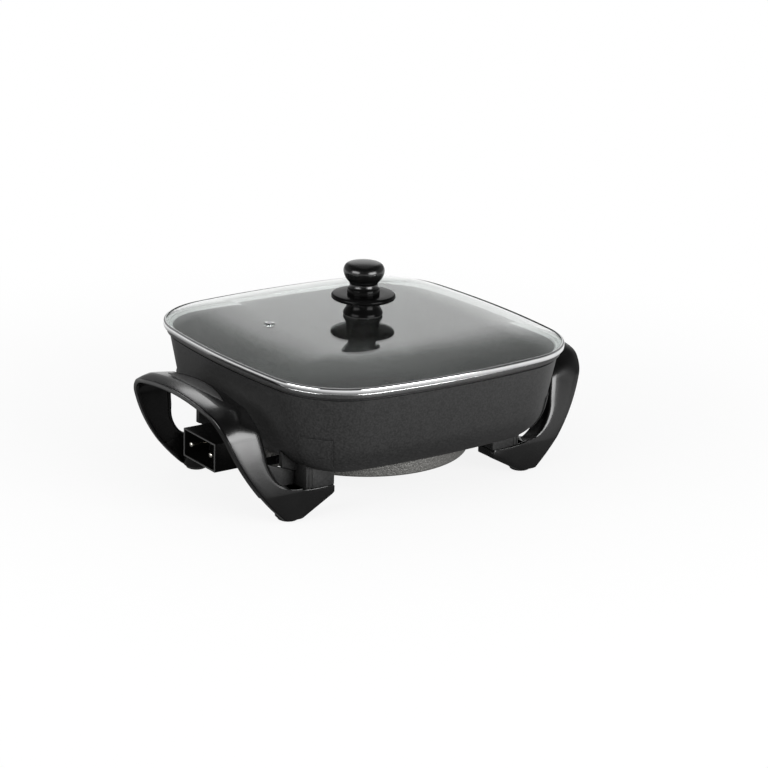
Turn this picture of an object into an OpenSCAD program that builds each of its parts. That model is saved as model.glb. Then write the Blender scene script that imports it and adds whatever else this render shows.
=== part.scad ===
// Electric skillet: a square cast pan on two arched handles that are also its legs, with a glass lid.
// Millimetres, +Z up. The origin is on the table, under the middle of the pan.
// The handles are on the X sides, and the terminal pins for a plug-in heat control are at -X.

/* [Outline] */
// Width of the lid across the middle of two opposite sides
lid_w = 300; // [280:2:320]
// Corner radius of the lid outline
corner_r = 71; // [66:1:76]
// Radius of the gentle bow along each side
side_bow_r = 725; // [600:5:1200]

/* [Pan] */
// Height of the pan's lip above the table
lip_z = 124; // [118:1:130]
// Height of the pan's underside above the table
pan_under_z = 42; // [39:1:45]
// How far the lid reaches past the lip
lid_overhang = 3; // [1:0.5:5]
// Height of the lip's bead
lip_h = 6; // [3:0.5:8]
// How far the bead stands out from the wall
lip_proud = 2.4; // [1:0.2:3]
// Rounding of the lip's top edge
lip_round = 1; // [0.5:0.1:1.5]
// Draft angle of the wall
wall_draft = 11; // [8:0.5:13]
// Outer radius between wall and floor
base_fillet = 38; // [32:1:42]
// Thickness of wall and floor
wall_t = 4.5; // [3.5:0.5:6]
// Length of a cast lug along X
lug_l = 28; // [24:1:29]
// Width of a cast lug along Y
lug_w = 20; // [16:1:21]

/* [Heater] */
// Outer radius of the cast heater ring
heater_out_r = 96; // [90:1:98]
// Inner radius of the cast heater ring
heater_in_r = 64; // [54:1:70]
// Height of the ring's lower face above the table
heater_low_z = 25; // [22:1:28]
// Radius of the heating tube's loop
element_r = 80; // [76:1:84]
// Diameter of the heating tube
element_d = 6.6; // [5.5:0.1:7.5]
// Half of the gap in the heating tube's loop, in degrees
element_open = 20; // [18:1:24]
// Length of a cast boss beyond the ring
boss_l = 16; // [14:1:20]
// Width of a cast boss
boss_w = 7; // [6:0.5:9]
// Step from the ring's lower face up to a boss
boss_step = 3; // [2:0.5:5]
// Gap between a boss and the heating tube beside it
boss_gap = 1.5; // [1:0.1:2.5]

/* [Inlet] */
// How far the shroud's mouth stands out past the lid's edge
inlet_reach = 15.7; // [12:0.1:22]
// Height of the middle of the shroud above the table
inlet_z = 45.5; // [44:0.5:48]
// Width of the shroud
shroud_w = 50.8; // [48:0.2:56]
// Height of the shroud
shroud_h = 25.2; // [24.8:0.2:28]
// Depth of the shroud
shroud_depth = 28; // [24:1:32]
// Wall of the shroud
shroud_t = 1.4; // [1.2:0.1:1.5]
// Distance between the two terminal pins
pin_gap = 31.7; // [30:0.1:33]
// Diameter of a terminal pin
pin_d = 4.8; // [4:0.1:5.5]
// Outer diameter of a pin's ceramic bush
bush_d = 9; // [8:0.2:10]
// Bore of the probe socket
probe_bore = 6.5; // [6.3:0.1:6.6]
// Outer diameter of the probe socket
probe_d = 7.4; // [7.2:0.1:7.8]
// Length of the solid end of the probe socket
probe_end = 3; // [2:0.5:5]
// Gap between the probe socket and the pan
probe_gap = 0.5; // [0.3:0.1:0.6]
// Sheet of the inlet bracket
bracket_t = 1.5; // [1:0.1:2]
// Height of a bracket arm
arm_h = 7; // [6:0.5:9]
// Step from a pin down to its root
pin_step = 0.3; // [0.2:0.1:0.5]
// How far a pin's root reaches behind the bracket
pin_root_l = 5; // [4:0.5:7]
// How far a ceramic bush stands out of the shroud's floor
bush_front = 1; // [0.5:0.1:2]
// How far a ceramic bush stands out behind the bracket
bush_back = 2; // [1:0.1:3]
// Grip of a shroud screw in the shroud's floor
shroud_bite = 2; // [1.5:0.1:2.2]

/* [Handles] */
// Distance of a handle's outer edge from the middle of the pan
handle_x = 192; // [188:1:198]
// Height of a handle's top above the table
handle_top = 107; // [104:1:110]
// Width of the grip along X
grip_w = 35; // [30:1:38]
// Width of the bevel along the grip's outer edge
bevel_w = 11; // [8:0.5:12]
// Drop of the bevel
bevel_h = 4; // [2:0.5:5]
// Half width of the arch at its shoulders
arch_half_w = 78; // [76:1:80]
// Radius of the gentle bow along the arch's top
top_bow_r = 290; // [250:5:400]
// Shoulder radius of the arch
shoulder_r = 30; // [26:1:34]
// Outward lean of a leg
leg_lean = 9.5; // [7:0.5:11]
// Thickness of the arch
arch_t = 7; // [5:0.5:8]
// Radius of the bowed outer edge, seen from the front
edge_bow_r = 190; // [150:5:250]
// Distance of the sole's outer end from the middle of the pan
toe_x = 132.5; // [130:0.5:136]
// Distance of the sole's inner end from the middle of the pan
heel_x = 114; // [112:0.5:116]
// Distance of the shelf's inner end from the middle of the pan
shelf_end_x = 83; // [80:0.5:84]
// Height of the shelf that carries a lug, above the table
shelf_z = 26.5; // [25:0.5:28]
// Thickness of the shelf at its inner end
shelf_t = 7; // [5:0.5:9]
// Width of a foot and its shelf along Y
foot_w = 22; // [20:1:24]
// How far a foot stands back from the leg's outer face
foot_back = 1; // [0.5:0.1:2]
// Distance of the bay's middle from the middle of the pan
bay_x = 113; // [111:0.5:116]
// Radius of the open bay between a leg and the pan
bay_r = 36; // [32:1:38]
// Thickness of the web that stands on the shelf's inner side
web_t = 3; // [2:0.5:4]
// Distance of the web's outer end from the middle of the pan
web_x = 140; // [136:1:146]
// Height of the web above the shelf at its inner end
web_low_h = 12; // [8:0.5:14]
// Height of the web above the shelf at its outer end
web_high_h = 22; // [16:0.5:24]
// Length of a grip inlay
inlay_length = 90; // [80:1:96]
// Width of a grip inlay
inlay_w = 16; // [12:0.5:17]
// Depth of a grip inlay
inlay_t = 2; // [1.5:0.1:3]
// Land between a grip inlay and the grip's inner edge
inlay_land = 5; // [3:0.5:6]
// Diameter of a foot pad
pad_d = 18; // [14:1:18]
// Thickness of a foot pad
pad_t = 4; // [3:0.5:5]
// How far a foot pad stands out of the sole
pad_proud = 2.5; // [1.5:0.1:3]

/* [Lid] */
// Rise of the glass from its edge to its middle
dome_rise = 14.1; // [12:0.1:15]
// Height of the glass edge's upper corner above the lip
glass_edge_h = 3.9; // [3.8:0.1:5]
// Thickness of the glass
glass_t = 3; // [2.6:0.1:3.1]
// Sheet of the lid's rim band
rim_t = 0.6; // [0.5:0.1:1]
// How far the band folds over the glass
rim_fold = 2; // [1.5:0.5:4]
// Height of the hem that the glass rests on
hem_h = 0.7; // [0.5:0.1:0.8]
// Width of the hem
hem_w = 6; // [5:0.5:7]
// Distance of the vent from the lid's edge along X
vent_in = 63; // [56:1:68]
// Distance of the vent from the middle of the lid along Y
vent_y = 15; // [0:1:30]
// Diameter of the vent's hole
vent_bore = 3; // [2:0.1:4]
// Diameter of the vent's tube
vent_d = 5; // [4.5:0.1:6]
// Diameter of the vent's flange
vent_flange_d = 9; // [8:0.2:12]
// Thickness of the vent's flange
vent_flange_t = 1; // [0.6:0.1:1.5]

/* [Knob] */
// Diameter of the knob's head
knob_d = 36.1; // [32:0.1:40]
// Diameter of the knob's neck
neck_d = 24.6; // [22:0.1:27]
// Diameter of the knob's base
knob_base_d = 28.4; // [26:0.1:31]
// Diameter of the crowned top
knob_top_d = 26; // [22:0.1:30]
// Height of the knob above its guard
knob_h = 28.4; // [26:0.1:32]
// Height of the knob's straight base above its guard
knob_base_h = 4.4; // [3:0.1:6]
// Height of the neck above the guard
neck_h = 8.5; // [7:0.1:10]
// Height of the head's widest place above the guard
wide_h = 20.1; // [18:0.1:22]
// Rise of the crowned top
knob_crown = 1.2; // [0.6:0.1:2]
// Diameter of the finger guard
guard_d = 56.6; // [50:0.2:64]
// Thickness of the finger guard
guard_t = 4.6; // [3:0.1:5]
// Diameter of the knob's foot where it meets the guard
foot_top_d = 28.2; // [27:0.1:32]
// Diameter of the knob's foot on the gasket
foot_low_d = 35; // [32:0.1:38]
// Height of the knob's foot
knob_foot_h = 13.5; // [11:0.5:15]
// Height of the flare at the bottom of the knob's foot
foot_flare_h = 9; // [6:0.5:10]
// Thickness of the gasket under the foot
gasket_t = 0.8; // [0.6:0.1:1.5]
// Diameter of the knob's screw
knob_screw_d = 6; // [5:0.1:7]
// Thickness of the washer under the glass
washer_t = 1.5; // [1:0.1:2]
// Diameter of the washer under the glass
washer_d = 20; // [16:0.5:24]
// Outer diameter of the threaded insert in the knob
insert_d = 10; // [9:0.1:12]
// Length of the threaded insert
insert_l = 12; // [9:0.5:15]

/* [Fasteners and fits] */
// Shank diameter of a handle screw
handle_screw_d = 5; // [4:0.1:5.5]
// Shank diameter of a bracket or shroud screw
small_screw_d = 3.5; // [3:0.1:4]
// Height of a screw head
head_h = 2.6; // [2:0.1:3.5]
// Grip of a handle screw in its lug
screw_bite = 14; // [10:0.5:16]
// Free length between a screw's tip and the end of its hole
tip_gap = 0.5; // [0.3:0.1:1]
// Clearance around a screw head in its counterbore, on the radius
head_gap = 0.5; // [0.3:0.1:1]
// Clearance around a screw or pin in its hole, on the radius
hole_gap = 0.2; // [0.1:0.05:0.3]
// Clearance between a fitted piece and its seat
seat_gap = 0.2; // [0.1:0.05:0.3]

/* [Hidden] */
$fn = 180;

// How far a cutting shape runs past the face that it opens, and the least set-back of an end
past = 1;
// Steps along a side, a corner, the pan's fillet, the glass dome, and a handle's shoulder and top
side_steps = 6;
corner_steps = 12;
fillet_steps = 8;
dome_steps = 6;
shoulder_steps = 16;
top_steps = 6;
// Where the flat middle of the pan and of the glass starts, and the dome's first step, in degrees
flat_u = 2;
dome_flat = 2;
// Steps round the heating tube's loop, and sides of the tube
loop_steps = 32;
tube_sides = 10;
// Straight runs of a cold end: inside the ring's edge, outside it, and behind the pin
run_in = 4;
run_out = 14;
run_up = 3;
// A screw head's diameter as a multiple of its shank's
head_ratio = 1.8;

// The outline is four side arcs and four corner arcs, all tangent. Every profile around it is drawn
// with u, the distance from the corner's centre, across and the height up.
half_w = lid_w / 2;
bow_gap = side_bow_r - half_w;
reach = side_bow_r - corner_r;
corner_c = (sqrt(2 * reach * reach - bow_gap * bow_gap) - bow_gap) / 2;
side_turn = atan2(corner_c, corner_c + bow_gap);
// Distance of the u = 0 line from the middle of the pan, at the middle of a side
side_zero = reach - bow_gap;

// Pan
lip_u = corner_r - lid_overhang;
wall_top_u = lip_u - lip_proud;
wall_top_z = lip_z - lip_h;
fillet_z = pan_under_z + base_fillet;
function wall_u(z) = wall_top_u - (wall_top_z - z) * tan(wall_draft);
fillet_u = wall_u(fillet_z - base_fillet * sin(wall_draft)) - base_fillet * cos(wall_draft);
floor_z = pan_under_z + wall_t;

// Handles
sole_z = pad_proud;
handle_in_x = handle_x - grip_w;
handle_seat_z = shelf_z - shelf_t;
bay_z = shelf_z + bay_r;
lug_x = shelf_end_x + past + lug_l / 2;
pad_x = (toe_x + heel_x) / 2;
inlay_x = handle_in_x + inlay_land + inlay_w / 2;
lug_hole_d = handle_screw_d + 2 * hole_gap;
// The outer edge is an arc from the sole to the bevel
edge_top = handle_top - bevel_h;
edge_rise = edge_top - sole_z;
edge_run = handle_x - toe_x;
edge_chord = norm([edge_run, edge_rise]);
edge_sag_r = sqrt(edge_bow_r * edge_bow_r - edge_chord * edge_chord / 4);
edge_c = [(handle_x + toe_x) / 2 - edge_sag_r * edge_rise / edge_chord,
    (edge_top + sole_z) / 2 + edge_sag_r * edge_run / edge_chord];
// The arch is a bowed top, two shoulder arcs tangent to it, and two leaning legs
shoulder_y = arch_half_w - shoulder_r;
top_c = [0, handle_top - top_bow_r];
shoulder_c = [shoulder_y, top_c.y + sqrt(pow(top_bow_r - shoulder_r, 2) - shoulder_y * shoulder_y)];
top_turn = atan2(shoulder_c.y - top_c.y, shoulder_y);
leg_top = shoulder_c + shoulder_r * [cos(leg_lean), sin(leg_lean)];
foot_half_w = leg_top.x + (leg_top.y - shelf_z) * tan(leg_lean);
foot_y = foot_half_w - foot_back - foot_w / 2;

// Inlet
pin_y = pin_gap / 2;
element_z = (heater_low_z + pan_under_z) / 2;
inlet_x = half_w + inlet_reach;
shroud_back_x = inlet_x - shroud_depth;
bracket_x = shroud_back_x - bracket_t;
boss_y = pin_y + element_d / 2 + boss_gap;
boss_low_z = heater_low_z + boss_step;
arm_y = boss_y + boss_w;
arm_z = (boss_low_z + pan_under_z) / 2;
bracket_screw_x = heater_out_r + boss_l / 2;
shroud_screw_y = pin_y / 2;
shroud_screw_z = inlet_z + shroud_h / 4;
probe_z = pan_under_z - probe_d / 2 - probe_gap;
pin_root_x = bracket_x - pin_root_l;
bush_front_x = shroud_back_x + 2 * shroud_t + bush_front;
bush_hole_d = bush_d + 2 * hole_gap;
small_hole_d = small_screw_d + 2 * hole_gap;

// Lid
vent_x = half_w - vent_in;
glass_u = corner_r - rim_t - seat_gap;
glass_z = lip_z + glass_edge_h + dome_rise;
dome_r = (glass_u * glass_u + dome_rise * dome_rise) / (2 * dome_rise);
function dome_z(u) = glass_z - dome_r + sqrt(dome_r * dome_r - u * u);
fold_u = corner_r - rim_fold;
rim_top_z = dome_z(glass_u) + seat_gap + rim_t;
foot_z = glass_z + gasket_t;
guard_z = foot_z + knob_foot_h;
knob_z = guard_z + guard_t;
screw_tip_z = knob_z + insert_l;
glass_low_z = glass_z - glass_t;

// An arc's points, from one angle to another
function arc(center, r, from, to, steps) =
    [for (i = [0:steps]) let (a = from + (to - from) * i / steps) center + r * [cos(a), sin(a)]];
function turned(p, a) = [p.x * cos(a) - p.y * sin(a), p.x * sin(a) + p.y * cos(a)];
function all_but_last(points) = [for (i = [0:len(points) - 2]) points[i]];

// The outline at a distance u from its corner centres
function ring(u) = [for (turn = [0:90:270], p = concat(
    all_but_last(arc([-bow_gap, 0], reach + u, -side_turn, side_turn, side_steps)),
    all_but_last(arc([corner_c, corner_c], u, side_turn, 90 - side_turn, corner_steps))
)) turned(p, turn)];

// A profile of [u, z] points carried round the outline: a closed band, or a body with two flat ends
module around(profile, band) {
    n = len(ring(1));
    m = len(profile);
    sides = [for (j = [0:m - (band ? 1 : 2)], i = [0:n - 1])
        let (k = (j + 1) % m, l = (i + 1) % n) [j * n + i, k * n + i, k * n + l, j * n + l]];
    ends = band ? [] : [[for (i = [0:n - 1]) i], [for (i = [n - 1:-1:0]) (m - 1) * n + i]];
    polyhedron([for (q = profile, p = ring(q.x)) [p.x, p.y, q.y]], concat(sides, ends));
}

// A rod along X between two places
module rod_x(x0, x1, y, z, d) {
    translate([x0, y, z]) rotate([0, 90, 0]) cylinder(d = d, h = x1 - x0);
}

// A rod along Y between two places
module rod_y(y0, y1, x, z, d) {
    translate([x, y1, z]) rotate([90, 0, 0]) cylinder(d = d, h = y1 - y0);
}

// The same shape on both sides of the XZ plane
module both_y() {
    children();
    mirror([0, 1, 0]) children();
}

// The pan's surface from the floor to a height, drawn in by an inset
function pan_curve(inset, top) = concat(
    [[flat_u, pan_under_z + inset]],
    arc([fillet_u, fillet_z], base_fillet - inset, -90, -wall_draft, fillet_steps),
    [[wall_u(top) - inset / cos(wall_draft), top]]
);
function reversed(points) = [for (i = [len(points) - 1:-1:0]) points[i]];
pan_profile = concat(
    pan_curve(0, wall_top_z),
    [[lip_u, wall_top_z + lip_proud], [lip_u, lip_z - lip_round], [lip_u - lip_round, lip_z]],
    reversed(pan_curve(wall_t, lip_z))
);

// Four blocks that run up into the pan's wall and stop short of its inside
module lugs() difference() {
    for (side = [-1, 1], end = [-1, 1])
        translate([side * lug_x, end * foot_y, shelf_z]) difference() {
            translate([-lug_l / 2, -lug_w / 2, 0]) cube([lug_l, lug_w, floor_z + wall_t - shelf_z]);
            translate([0, 0, -past]) cylinder(d = lug_hole_d, h = screw_bite + 2 * past);
        }
    around(pan_curve(wall_t - past, lip_z), false);
}

module pan_body() color("#383838") {
    around(pan_profile, false);
    lugs();
}

// The heating tube's path: a cold end on one side, the loop, and the cold end on the other
function cold_end(side) = [
    [-heater_out_r + run_in, side * pin_y, element_z],
    [-heater_out_r - run_out, side * pin_y, element_z],
    [-pin_root_x + run_up, side * pin_y, inlet_z],
    [-pin_root_x, side * pin_y, inlet_z]
];
element_path = concat(
    reversed(cold_end(-1)),
    [
        for (p = arc([0, 0], element_r, element_open - 180, 180 - element_open, loop_steps))
            [p.x, p.y, element_z]
    ],
    cold_end(1)
);
function unit(v) = v / norm(v);
function heading(path, i) = unit(path[min(i + 1, len(path) - 1)] - path[max(i - 1, 0)]);

// A round tube along a path that is nowhere upright
module tube(path, d) {
    n = tube_sides;
    m = len(path);
    points = [for (i = [0:m - 1])
        let (ahead = heading(path, i), across = unit(cross(ahead, [0, 0, 1])), up = cross(across, ahead))
        for (a = [0:360 / n:359]) path[i] + d / 2 * (cos(a) * across + sin(a) * up)];
    sides = [for (j = [0:m - 2], i = [0:n - 1])
        let (l = (i + 1) % n) [j * n + i, j * n + l, (j + 1) * n + l, (j + 1) * n + i]];
    ends = [[for (i = [n - 1:-1:0]) i], [for (i = [0:n - 1]) (m - 1) * n + i]];
    polyhedron(points, concat(sides, ends));
}

module heating_element() color("#8a8580") tube(element_path, element_d);

module heater_plate() color("#4a4a4a") difference() {
    union() {
        translate([0, 0, heater_low_z]) difference() {
            cylinder(r = heater_out_r, h = pan_under_z - heater_low_z);
            translate([0, 0, -past]) cylinder(r = heater_in_r, h = pan_under_z);
        }
        both_y() translate([-heater_out_r - boss_l, boss_y, boss_low_z])
            cube([heater_out_r + boss_l - element_r, boss_w, pan_under_z - boss_low_z]);
    }
    tube(element_path, element_d + 2 * hole_gap);
    rod_x(-heater_out_r - past, -element_r - past, 0, probe_z, probe_d + 2 * hole_gap);
    both_y() rod_y(boss_y + past, arm_y + past, -bracket_screw_x, arm_z, small_hole_d);
}

module terminal_pin(side) color("#d8d8d8") {
    rod_x(-inlet_x + past, -bush_front_x - seat_gap, side * pin_y, inlet_z, pin_d);
    rod_x(-bush_front_x - seat_gap, -pin_root_x, side * pin_y, inlet_z, pin_d - 2 * pin_step);
}
module terminal_pin_front() terminal_pin(-1);
module terminal_pin_rear() terminal_pin(1);

module pin_insulator(side) color("#e6e0d2") difference() {
    rod_x(-bush_front_x, -bracket_x + bush_back, side * pin_y, inlet_z, bush_d);
    rod_x(-inlet_x, 0, side * pin_y, inlet_z, pin_d - 2 * pin_step + 2 * hole_gap);
}
module pin_insulator_front() pin_insulator(-1);
module pin_insulator_rear() pin_insulator(1);

module probe_tube() color("#9a9a9a") difference() {
    rod_x(-bracket_x, -element_r - past - seat_gap, 0, probe_z, probe_d);
    rod_x(-inlet_x, -element_r - past - seat_gap - probe_end, 0, probe_z, probe_bore);
}

module inlet_bracket() color("#7c7c7c") difference() {
    union() {
        translate([-shroud_back_x, -arm_y - bracket_t, inlet_z - shroud_h / 2])
            cube([bracket_t, 2 * (arm_y + bracket_t), shroud_h]);
        both_y() translate([-shroud_back_x, arm_y, arm_z - arm_h / 2])
            cube([shroud_back_x - heater_out_r + past, bracket_t, arm_h]);
    }
    both_y() {
        rod_x(-inlet_x, 0, pin_y, inlet_z, bush_hole_d);
        rod_x(-inlet_x, 0, shroud_screw_y, shroud_screw_z, small_hole_d);
        rod_y(arm_y - past, arm_y + bracket_t + past, -bracket_screw_x, arm_z, small_hole_d);
    }
    rod_x(-inlet_x, 0, 0, probe_z, probe_bore);
}

module bracket_screws() color("#b5b5b5") both_y() {
    rod_y(boss_y + past + tip_gap, arm_y + bracket_t, -bracket_screw_x, arm_z, small_screw_d);
    rod_y(arm_y + bracket_t, arm_y + bracket_t + head_h, -bracket_screw_x, arm_z, head_ratio * small_screw_d);
}

module inlet_shroud() color("#161616") difference() {
    translate([-inlet_x, -shroud_w / 2, inlet_z - shroud_h / 2]) cube([shroud_depth, shroud_w, shroud_h]);
    translate([-inlet_x - past, shroud_t - shroud_w / 2, inlet_z + shroud_t - shroud_h / 2])
        cube([shroud_depth + past - 2 * shroud_t, shroud_w - 2 * shroud_t, shroud_h - 2 * shroud_t]);
    both_y() {
        rod_x(-inlet_x, 0, pin_y, inlet_z, bush_hole_d);
        rod_x(-shroud_back_x - shroud_bite - tip_gap, 0, shroud_screw_y, shroud_screw_z, small_hole_d);
    }
    rod_x(-inlet_x, 0, 0, probe_z, probe_bore);
}

module shroud_screws() color("#b5b5b5") both_y() {
    rod_x(-shroud_back_x - shroud_bite, -bracket_x, shroud_screw_y, shroud_screw_z, small_screw_d);
    rod_x(-bracket_x, -bracket_x + head_h, shroud_screw_y, shroud_screw_z, head_ratio * small_screw_d);
}

// Half of the arch seen along X, across Y and up Z, from the leg to the middle of the top
function arch_curve(inset) = concat(
    all_but_last(arc(shoulder_c, shoulder_r - inset, leg_lean, top_turn, shoulder_steps)),
    all_but_last(arc(top_c, top_bow_r - inset, top_turn, 90, top_steps))
);
function leg_curve(inset) = concat(
    [[foot_half_w - inset, sole_z], [foot_half_w - inset, shelf_z]],
    arch_curve(inset)
);
function flipped(points) = [for (p = reversed(points)) [-p.x, p.y]];
function over(points) = concat(points, flipped(points));
module arch_outline() {
    polygon(concat(over(leg_curve(0)), reversed(over(leg_curve(arch_t)))));
}

// The handle seen along Y, across X and up Z
module handle_side() {
    difference() {
        intersection() {
            translate(edge_c) circle(r = edge_bow_r);
            translate([shelf_end_x, sole_z]) square([handle_x, handle_top]);
        }
        translate([bay_x, bay_z]) circle(r = bay_r);
        translate([0, shelf_z]) square([bay_x, handle_top]);
        polygon([[0, bay_z], [bay_x + bay_r, bay_z], [handle_in_x, handle_top], [handle_in_x, 2 * handle_top],
            [0, 2 * handle_top]]);
        polygon([[handle_x - bevel_w, handle_top], [handle_x, edge_top], [2 * handle_x, edge_top],
            [2 * handle_x, 2 * handle_top], [handle_x - bevel_w, 2 * handle_top]]);
        polygon([[0, 0], [heel_x, 0], [heel_x, sole_z], [shelf_end_x, handle_seat_z], [0, handle_seat_z]]);
    }
}

// The solid part of the shelf behind the leg's wall, seen along Y
module shelf_side() {
    intersection() {
        handle_side();
        square([pad_x, shelf_z]);
    }
}

// The web behind the leg, seen along Y
module web_side() {
    polygon([[bay_x, handle_seat_z], [bay_x, shelf_z + web_low_h], [web_x, shelf_z + web_high_h],
        [pad_x, handle_seat_z]]);
}

// A lens-shaped grip inlay, seen from above
module inlay_outline(inset) {
    r = (inlay_length * inlay_length + inlay_w * inlay_w) / (4 * inlay_w);
    intersection_for (side = [-1, 1])
        translate([inlay_x + side * (r - inlay_w / 2), 0]) circle(r = r - inset);
}

// The part of the grip's top layer inside the inlay's outline
module inlay_layer(inset, top) {
    intersection() {
        linear_extrude(2 * handle_top) inlay_outline(inset);
        rotate([90, 0, 90]) linear_extrude(handle_x)
            polygon(concat(over(arch_curve(-top)), reversed(over(arch_curve(inlay_t)))));
    }
}

module handle() color("#121212") difference() {
    union() {
        intersection() {
            rotate([90, 0, 90]) linear_extrude(handle_x + past) arch_outline();
            rotate([90, 0, 0]) linear_extrude(2 * foot_half_w + 2 * past, center = true) handle_side();
        }
        both_y() {
            translate([0, foot_half_w - arch_t / 2, 0]) rotate([90, 0, 0])
                linear_extrude(foot_w + foot_back - arch_t / 2) shelf_side();
            translate([0, foot_y - foot_w / 2 + web_t, 0])
                rotate([90, 0, 0]) linear_extrude(web_t) web_side();
            translate([pad_x, foot_y, sole_z]) cylinder(d = foot_w, h = shelf_z - sole_z);
        }
    }
    inlay_layer(0, past);
    both_y() {
        translate([lug_x, foot_y, 0]) cylinder(d = lug_hole_d, h = shelf_z + past);
        translate([lug_x, foot_y, 0])
            cylinder(d = head_ratio * handle_screw_d + 2 * head_gap, h = handle_seat_z);
        translate([pad_x, foot_y, 0]) cylinder(d = pad_d + 2 * seat_gap, h = pad_t);
    }
}
module handle_right() handle();
module handle_left() mirror([1, 0, 0]) handle();

module handle_screws() color("#b5b5b5") both_y() translate([lug_x, foot_y, handle_seat_z - head_h]) {
    cylinder(d = head_ratio * handle_screw_d, h = head_h);
    cylinder(d = handle_screw_d, h = head_h + shelf_t + screw_bite);
}
module handle_screws_right() handle_screws();
module handle_screws_left() mirror([1, 0, 0]) handle_screws();

module grip_inlay() color("#3c3c3c") inlay_layer(seat_gap, 0);
module grip_inlay_right() grip_inlay();
module grip_inlay_left() mirror([1, 0, 0]) grip_inlay();

module foot_pad(side, end) color("#1c1c1c") translate([side * pad_x, end * foot_y, 0])
    cylinder(d = pad_d, h = pad_t);
module foot_pad_front_left() foot_pad(-1, -1);
module foot_pad_rear_left() foot_pad(-1, 1);
module foot_pad_front_right() foot_pad(1, -1);
module foot_pad_rear_right() foot_pad(1, 1);

glass_turn = asin(glass_u / dome_r);
function dome_curve(drop) =
    arc([0, glass_z - dome_r], dome_r - drop, 90 - dome_flat, 90 - glass_turn, dome_steps);
glass_profile = concat(
    [[flat_u, glass_low_z]],
    dome_curve(glass_t),
    [[glass_u, dome_z(glass_u) - glass_t]],
    reversed(dome_curve(0)),
    [[flat_u, glass_z]]
);

module lid_glass() color("#c8d4d4", 0.35) difference() {
    around(glass_profile, false);
    cylinder(d = knob_screw_d + 2 * hole_gap, h = 2 * glass_z);
    translate([-vent_x, vent_y, 0]) cylinder(d = vent_d + 2 * hole_gap, h = 2 * glass_z);
}

rim_profile = [
    [corner_r - hem_w, lip_z],
    [corner_r, lip_z],
    [corner_r, rim_top_z],
    [fold_u, dome_z(fold_u) + seat_gap + rim_t],
    [fold_u, dome_z(fold_u) + seat_gap],
    [corner_r - rim_t, dome_z(corner_r - rim_t) + seat_gap],
    [corner_r - rim_t, lip_z + hem_h],
    [corner_r - hem_w, lip_z + hem_h]
];
module lid_rim() color("#c9cbcc") around(rim_profile, true);

// The lower flange keeps clear of the dome's underside at its outer edge
vent_low_z = dome_z(vent_x + vent_flange_d / 2 - side_zero) - glass_t - vent_flange_t;
module vent_eyelet() color("#d0d0d0") translate([-vent_x, vent_y, 0]) difference() {
    union() {
        translate([0, 0, vent_low_z]) cylinder(d = vent_d, h = glass_z + vent_flange_t - vent_low_z);
        translate([0, 0, vent_low_z]) cylinder(d = vent_flange_d, h = vent_flange_t - seat_gap);
        translate([0, 0, glass_z]) cylinder(d = vent_flange_d, h = vent_flange_t);
    }
    cylinder(d = vent_bore, h = 2 * glass_z);
}

// The knob's half profile: straight base, half wave to the neck, rounded head and crowned top
function wave(from, to, t) = from + (to - from) * (1 - cos(180 * t)) / 2;
knob_profile = concat(
    [[0, 0], [knob_base_d / 2, 0]],
    [
        for (t = [0:0.125:0.875])
            [wave(knob_base_d / 2, neck_d / 2, t), knob_base_h + t * (neck_h - knob_base_h)]
    ],
    [
        for (t = [0:0.125:0.875])
            [(neck_d + (knob_d - neck_d) * sin(90 * t)) / 2, neck_h + t * (wide_h - neck_h)]
    ],
    [for (a = [0:11.25:90]) [knob_top_d / 2 + (knob_d - knob_top_d) / 2 * cos(a),
        wide_h + (knob_h - knob_crown - wide_h) * sin(a)]],
    [for (t = [0.75:-0.25:0]) [t * knob_top_d / 2, knob_h - knob_crown * t * t]]
);

module knob() color("#0e0e0e") translate([0, 0, knob_z]) difference() {
    rotate_extrude() polygon(knob_profile);
    translate([0, 0, -past]) cylinder(d = insert_d + 2 * hole_gap, h = insert_l + past + seat_gap);
}

module knob_guard() color("#0e0e0e") translate([0, 0, guard_z]) difference() {
    rotate_extrude() union() {
        square([guard_d / 2 - guard_t / 2, guard_t]);
        translate([guard_d / 2 - guard_t / 2, guard_t / 2]) intersection() {
            circle(d = guard_t);
            translate([0, -guard_t]) square([guard_t, 2 * guard_t]);
        }
    }
    translate([0, 0, -past]) cylinder(d = knob_screw_d + 2 * hole_gap, h = guard_t + 2 * past);
}

module knob_foot() color("#0e0e0e") translate([0, 0, foot_z]) difference() {
    rotate_extrude() polygon(concat(
        [[0, 0]],
        [for (t = [0:0.125:1]) [wave(foot_low_d, foot_top_d, t) / 2, t * foot_flare_h]],
        [[foot_top_d / 2, knob_foot_h], [0, knob_foot_h]]
    ));
    translate([0, 0, -past]) cylinder(d = knob_screw_d + 2 * hole_gap, h = knob_foot_h + 2 * past);
}

module knob_gasket() color("#3a3a3a") translate([0, 0, glass_z]) difference() {
    cylinder(d = foot_low_d - 2 * gasket_t, h = gasket_t);
    translate([0, 0, -past]) cylinder(d = knob_screw_d + 2 * hole_gap, h = gasket_t + 2 * past);
}

module knob_washer() color("#c4c4c4") translate([0, 0, glass_low_z - washer_t]) difference() {
    cylinder(d = washer_d, h = washer_t);
    translate([0, 0, -past]) cylinder(d = knob_screw_d + 2 * hole_gap, h = washer_t + 2 * past);
}

module knob_screw() color("#c4c4c4") {
    translate([0, 0, glass_low_z - washer_t - head_h]) cylinder(d = head_ratio * knob_screw_d, h = head_h);
    translate([0, 0, glass_low_z - washer_t])
        cylinder(d = knob_screw_d, h = screw_tip_z - past - glass_low_z + washer_t);
}

module knob_insert() color("#b59a52") translate([0, 0, knob_z]) difference() {
    cylinder(d = insert_d, h = insert_l);
    translate([0, 0, -past]) cylinder(d = knob_screw_d + 2 * hole_gap, h = insert_l);
}

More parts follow.
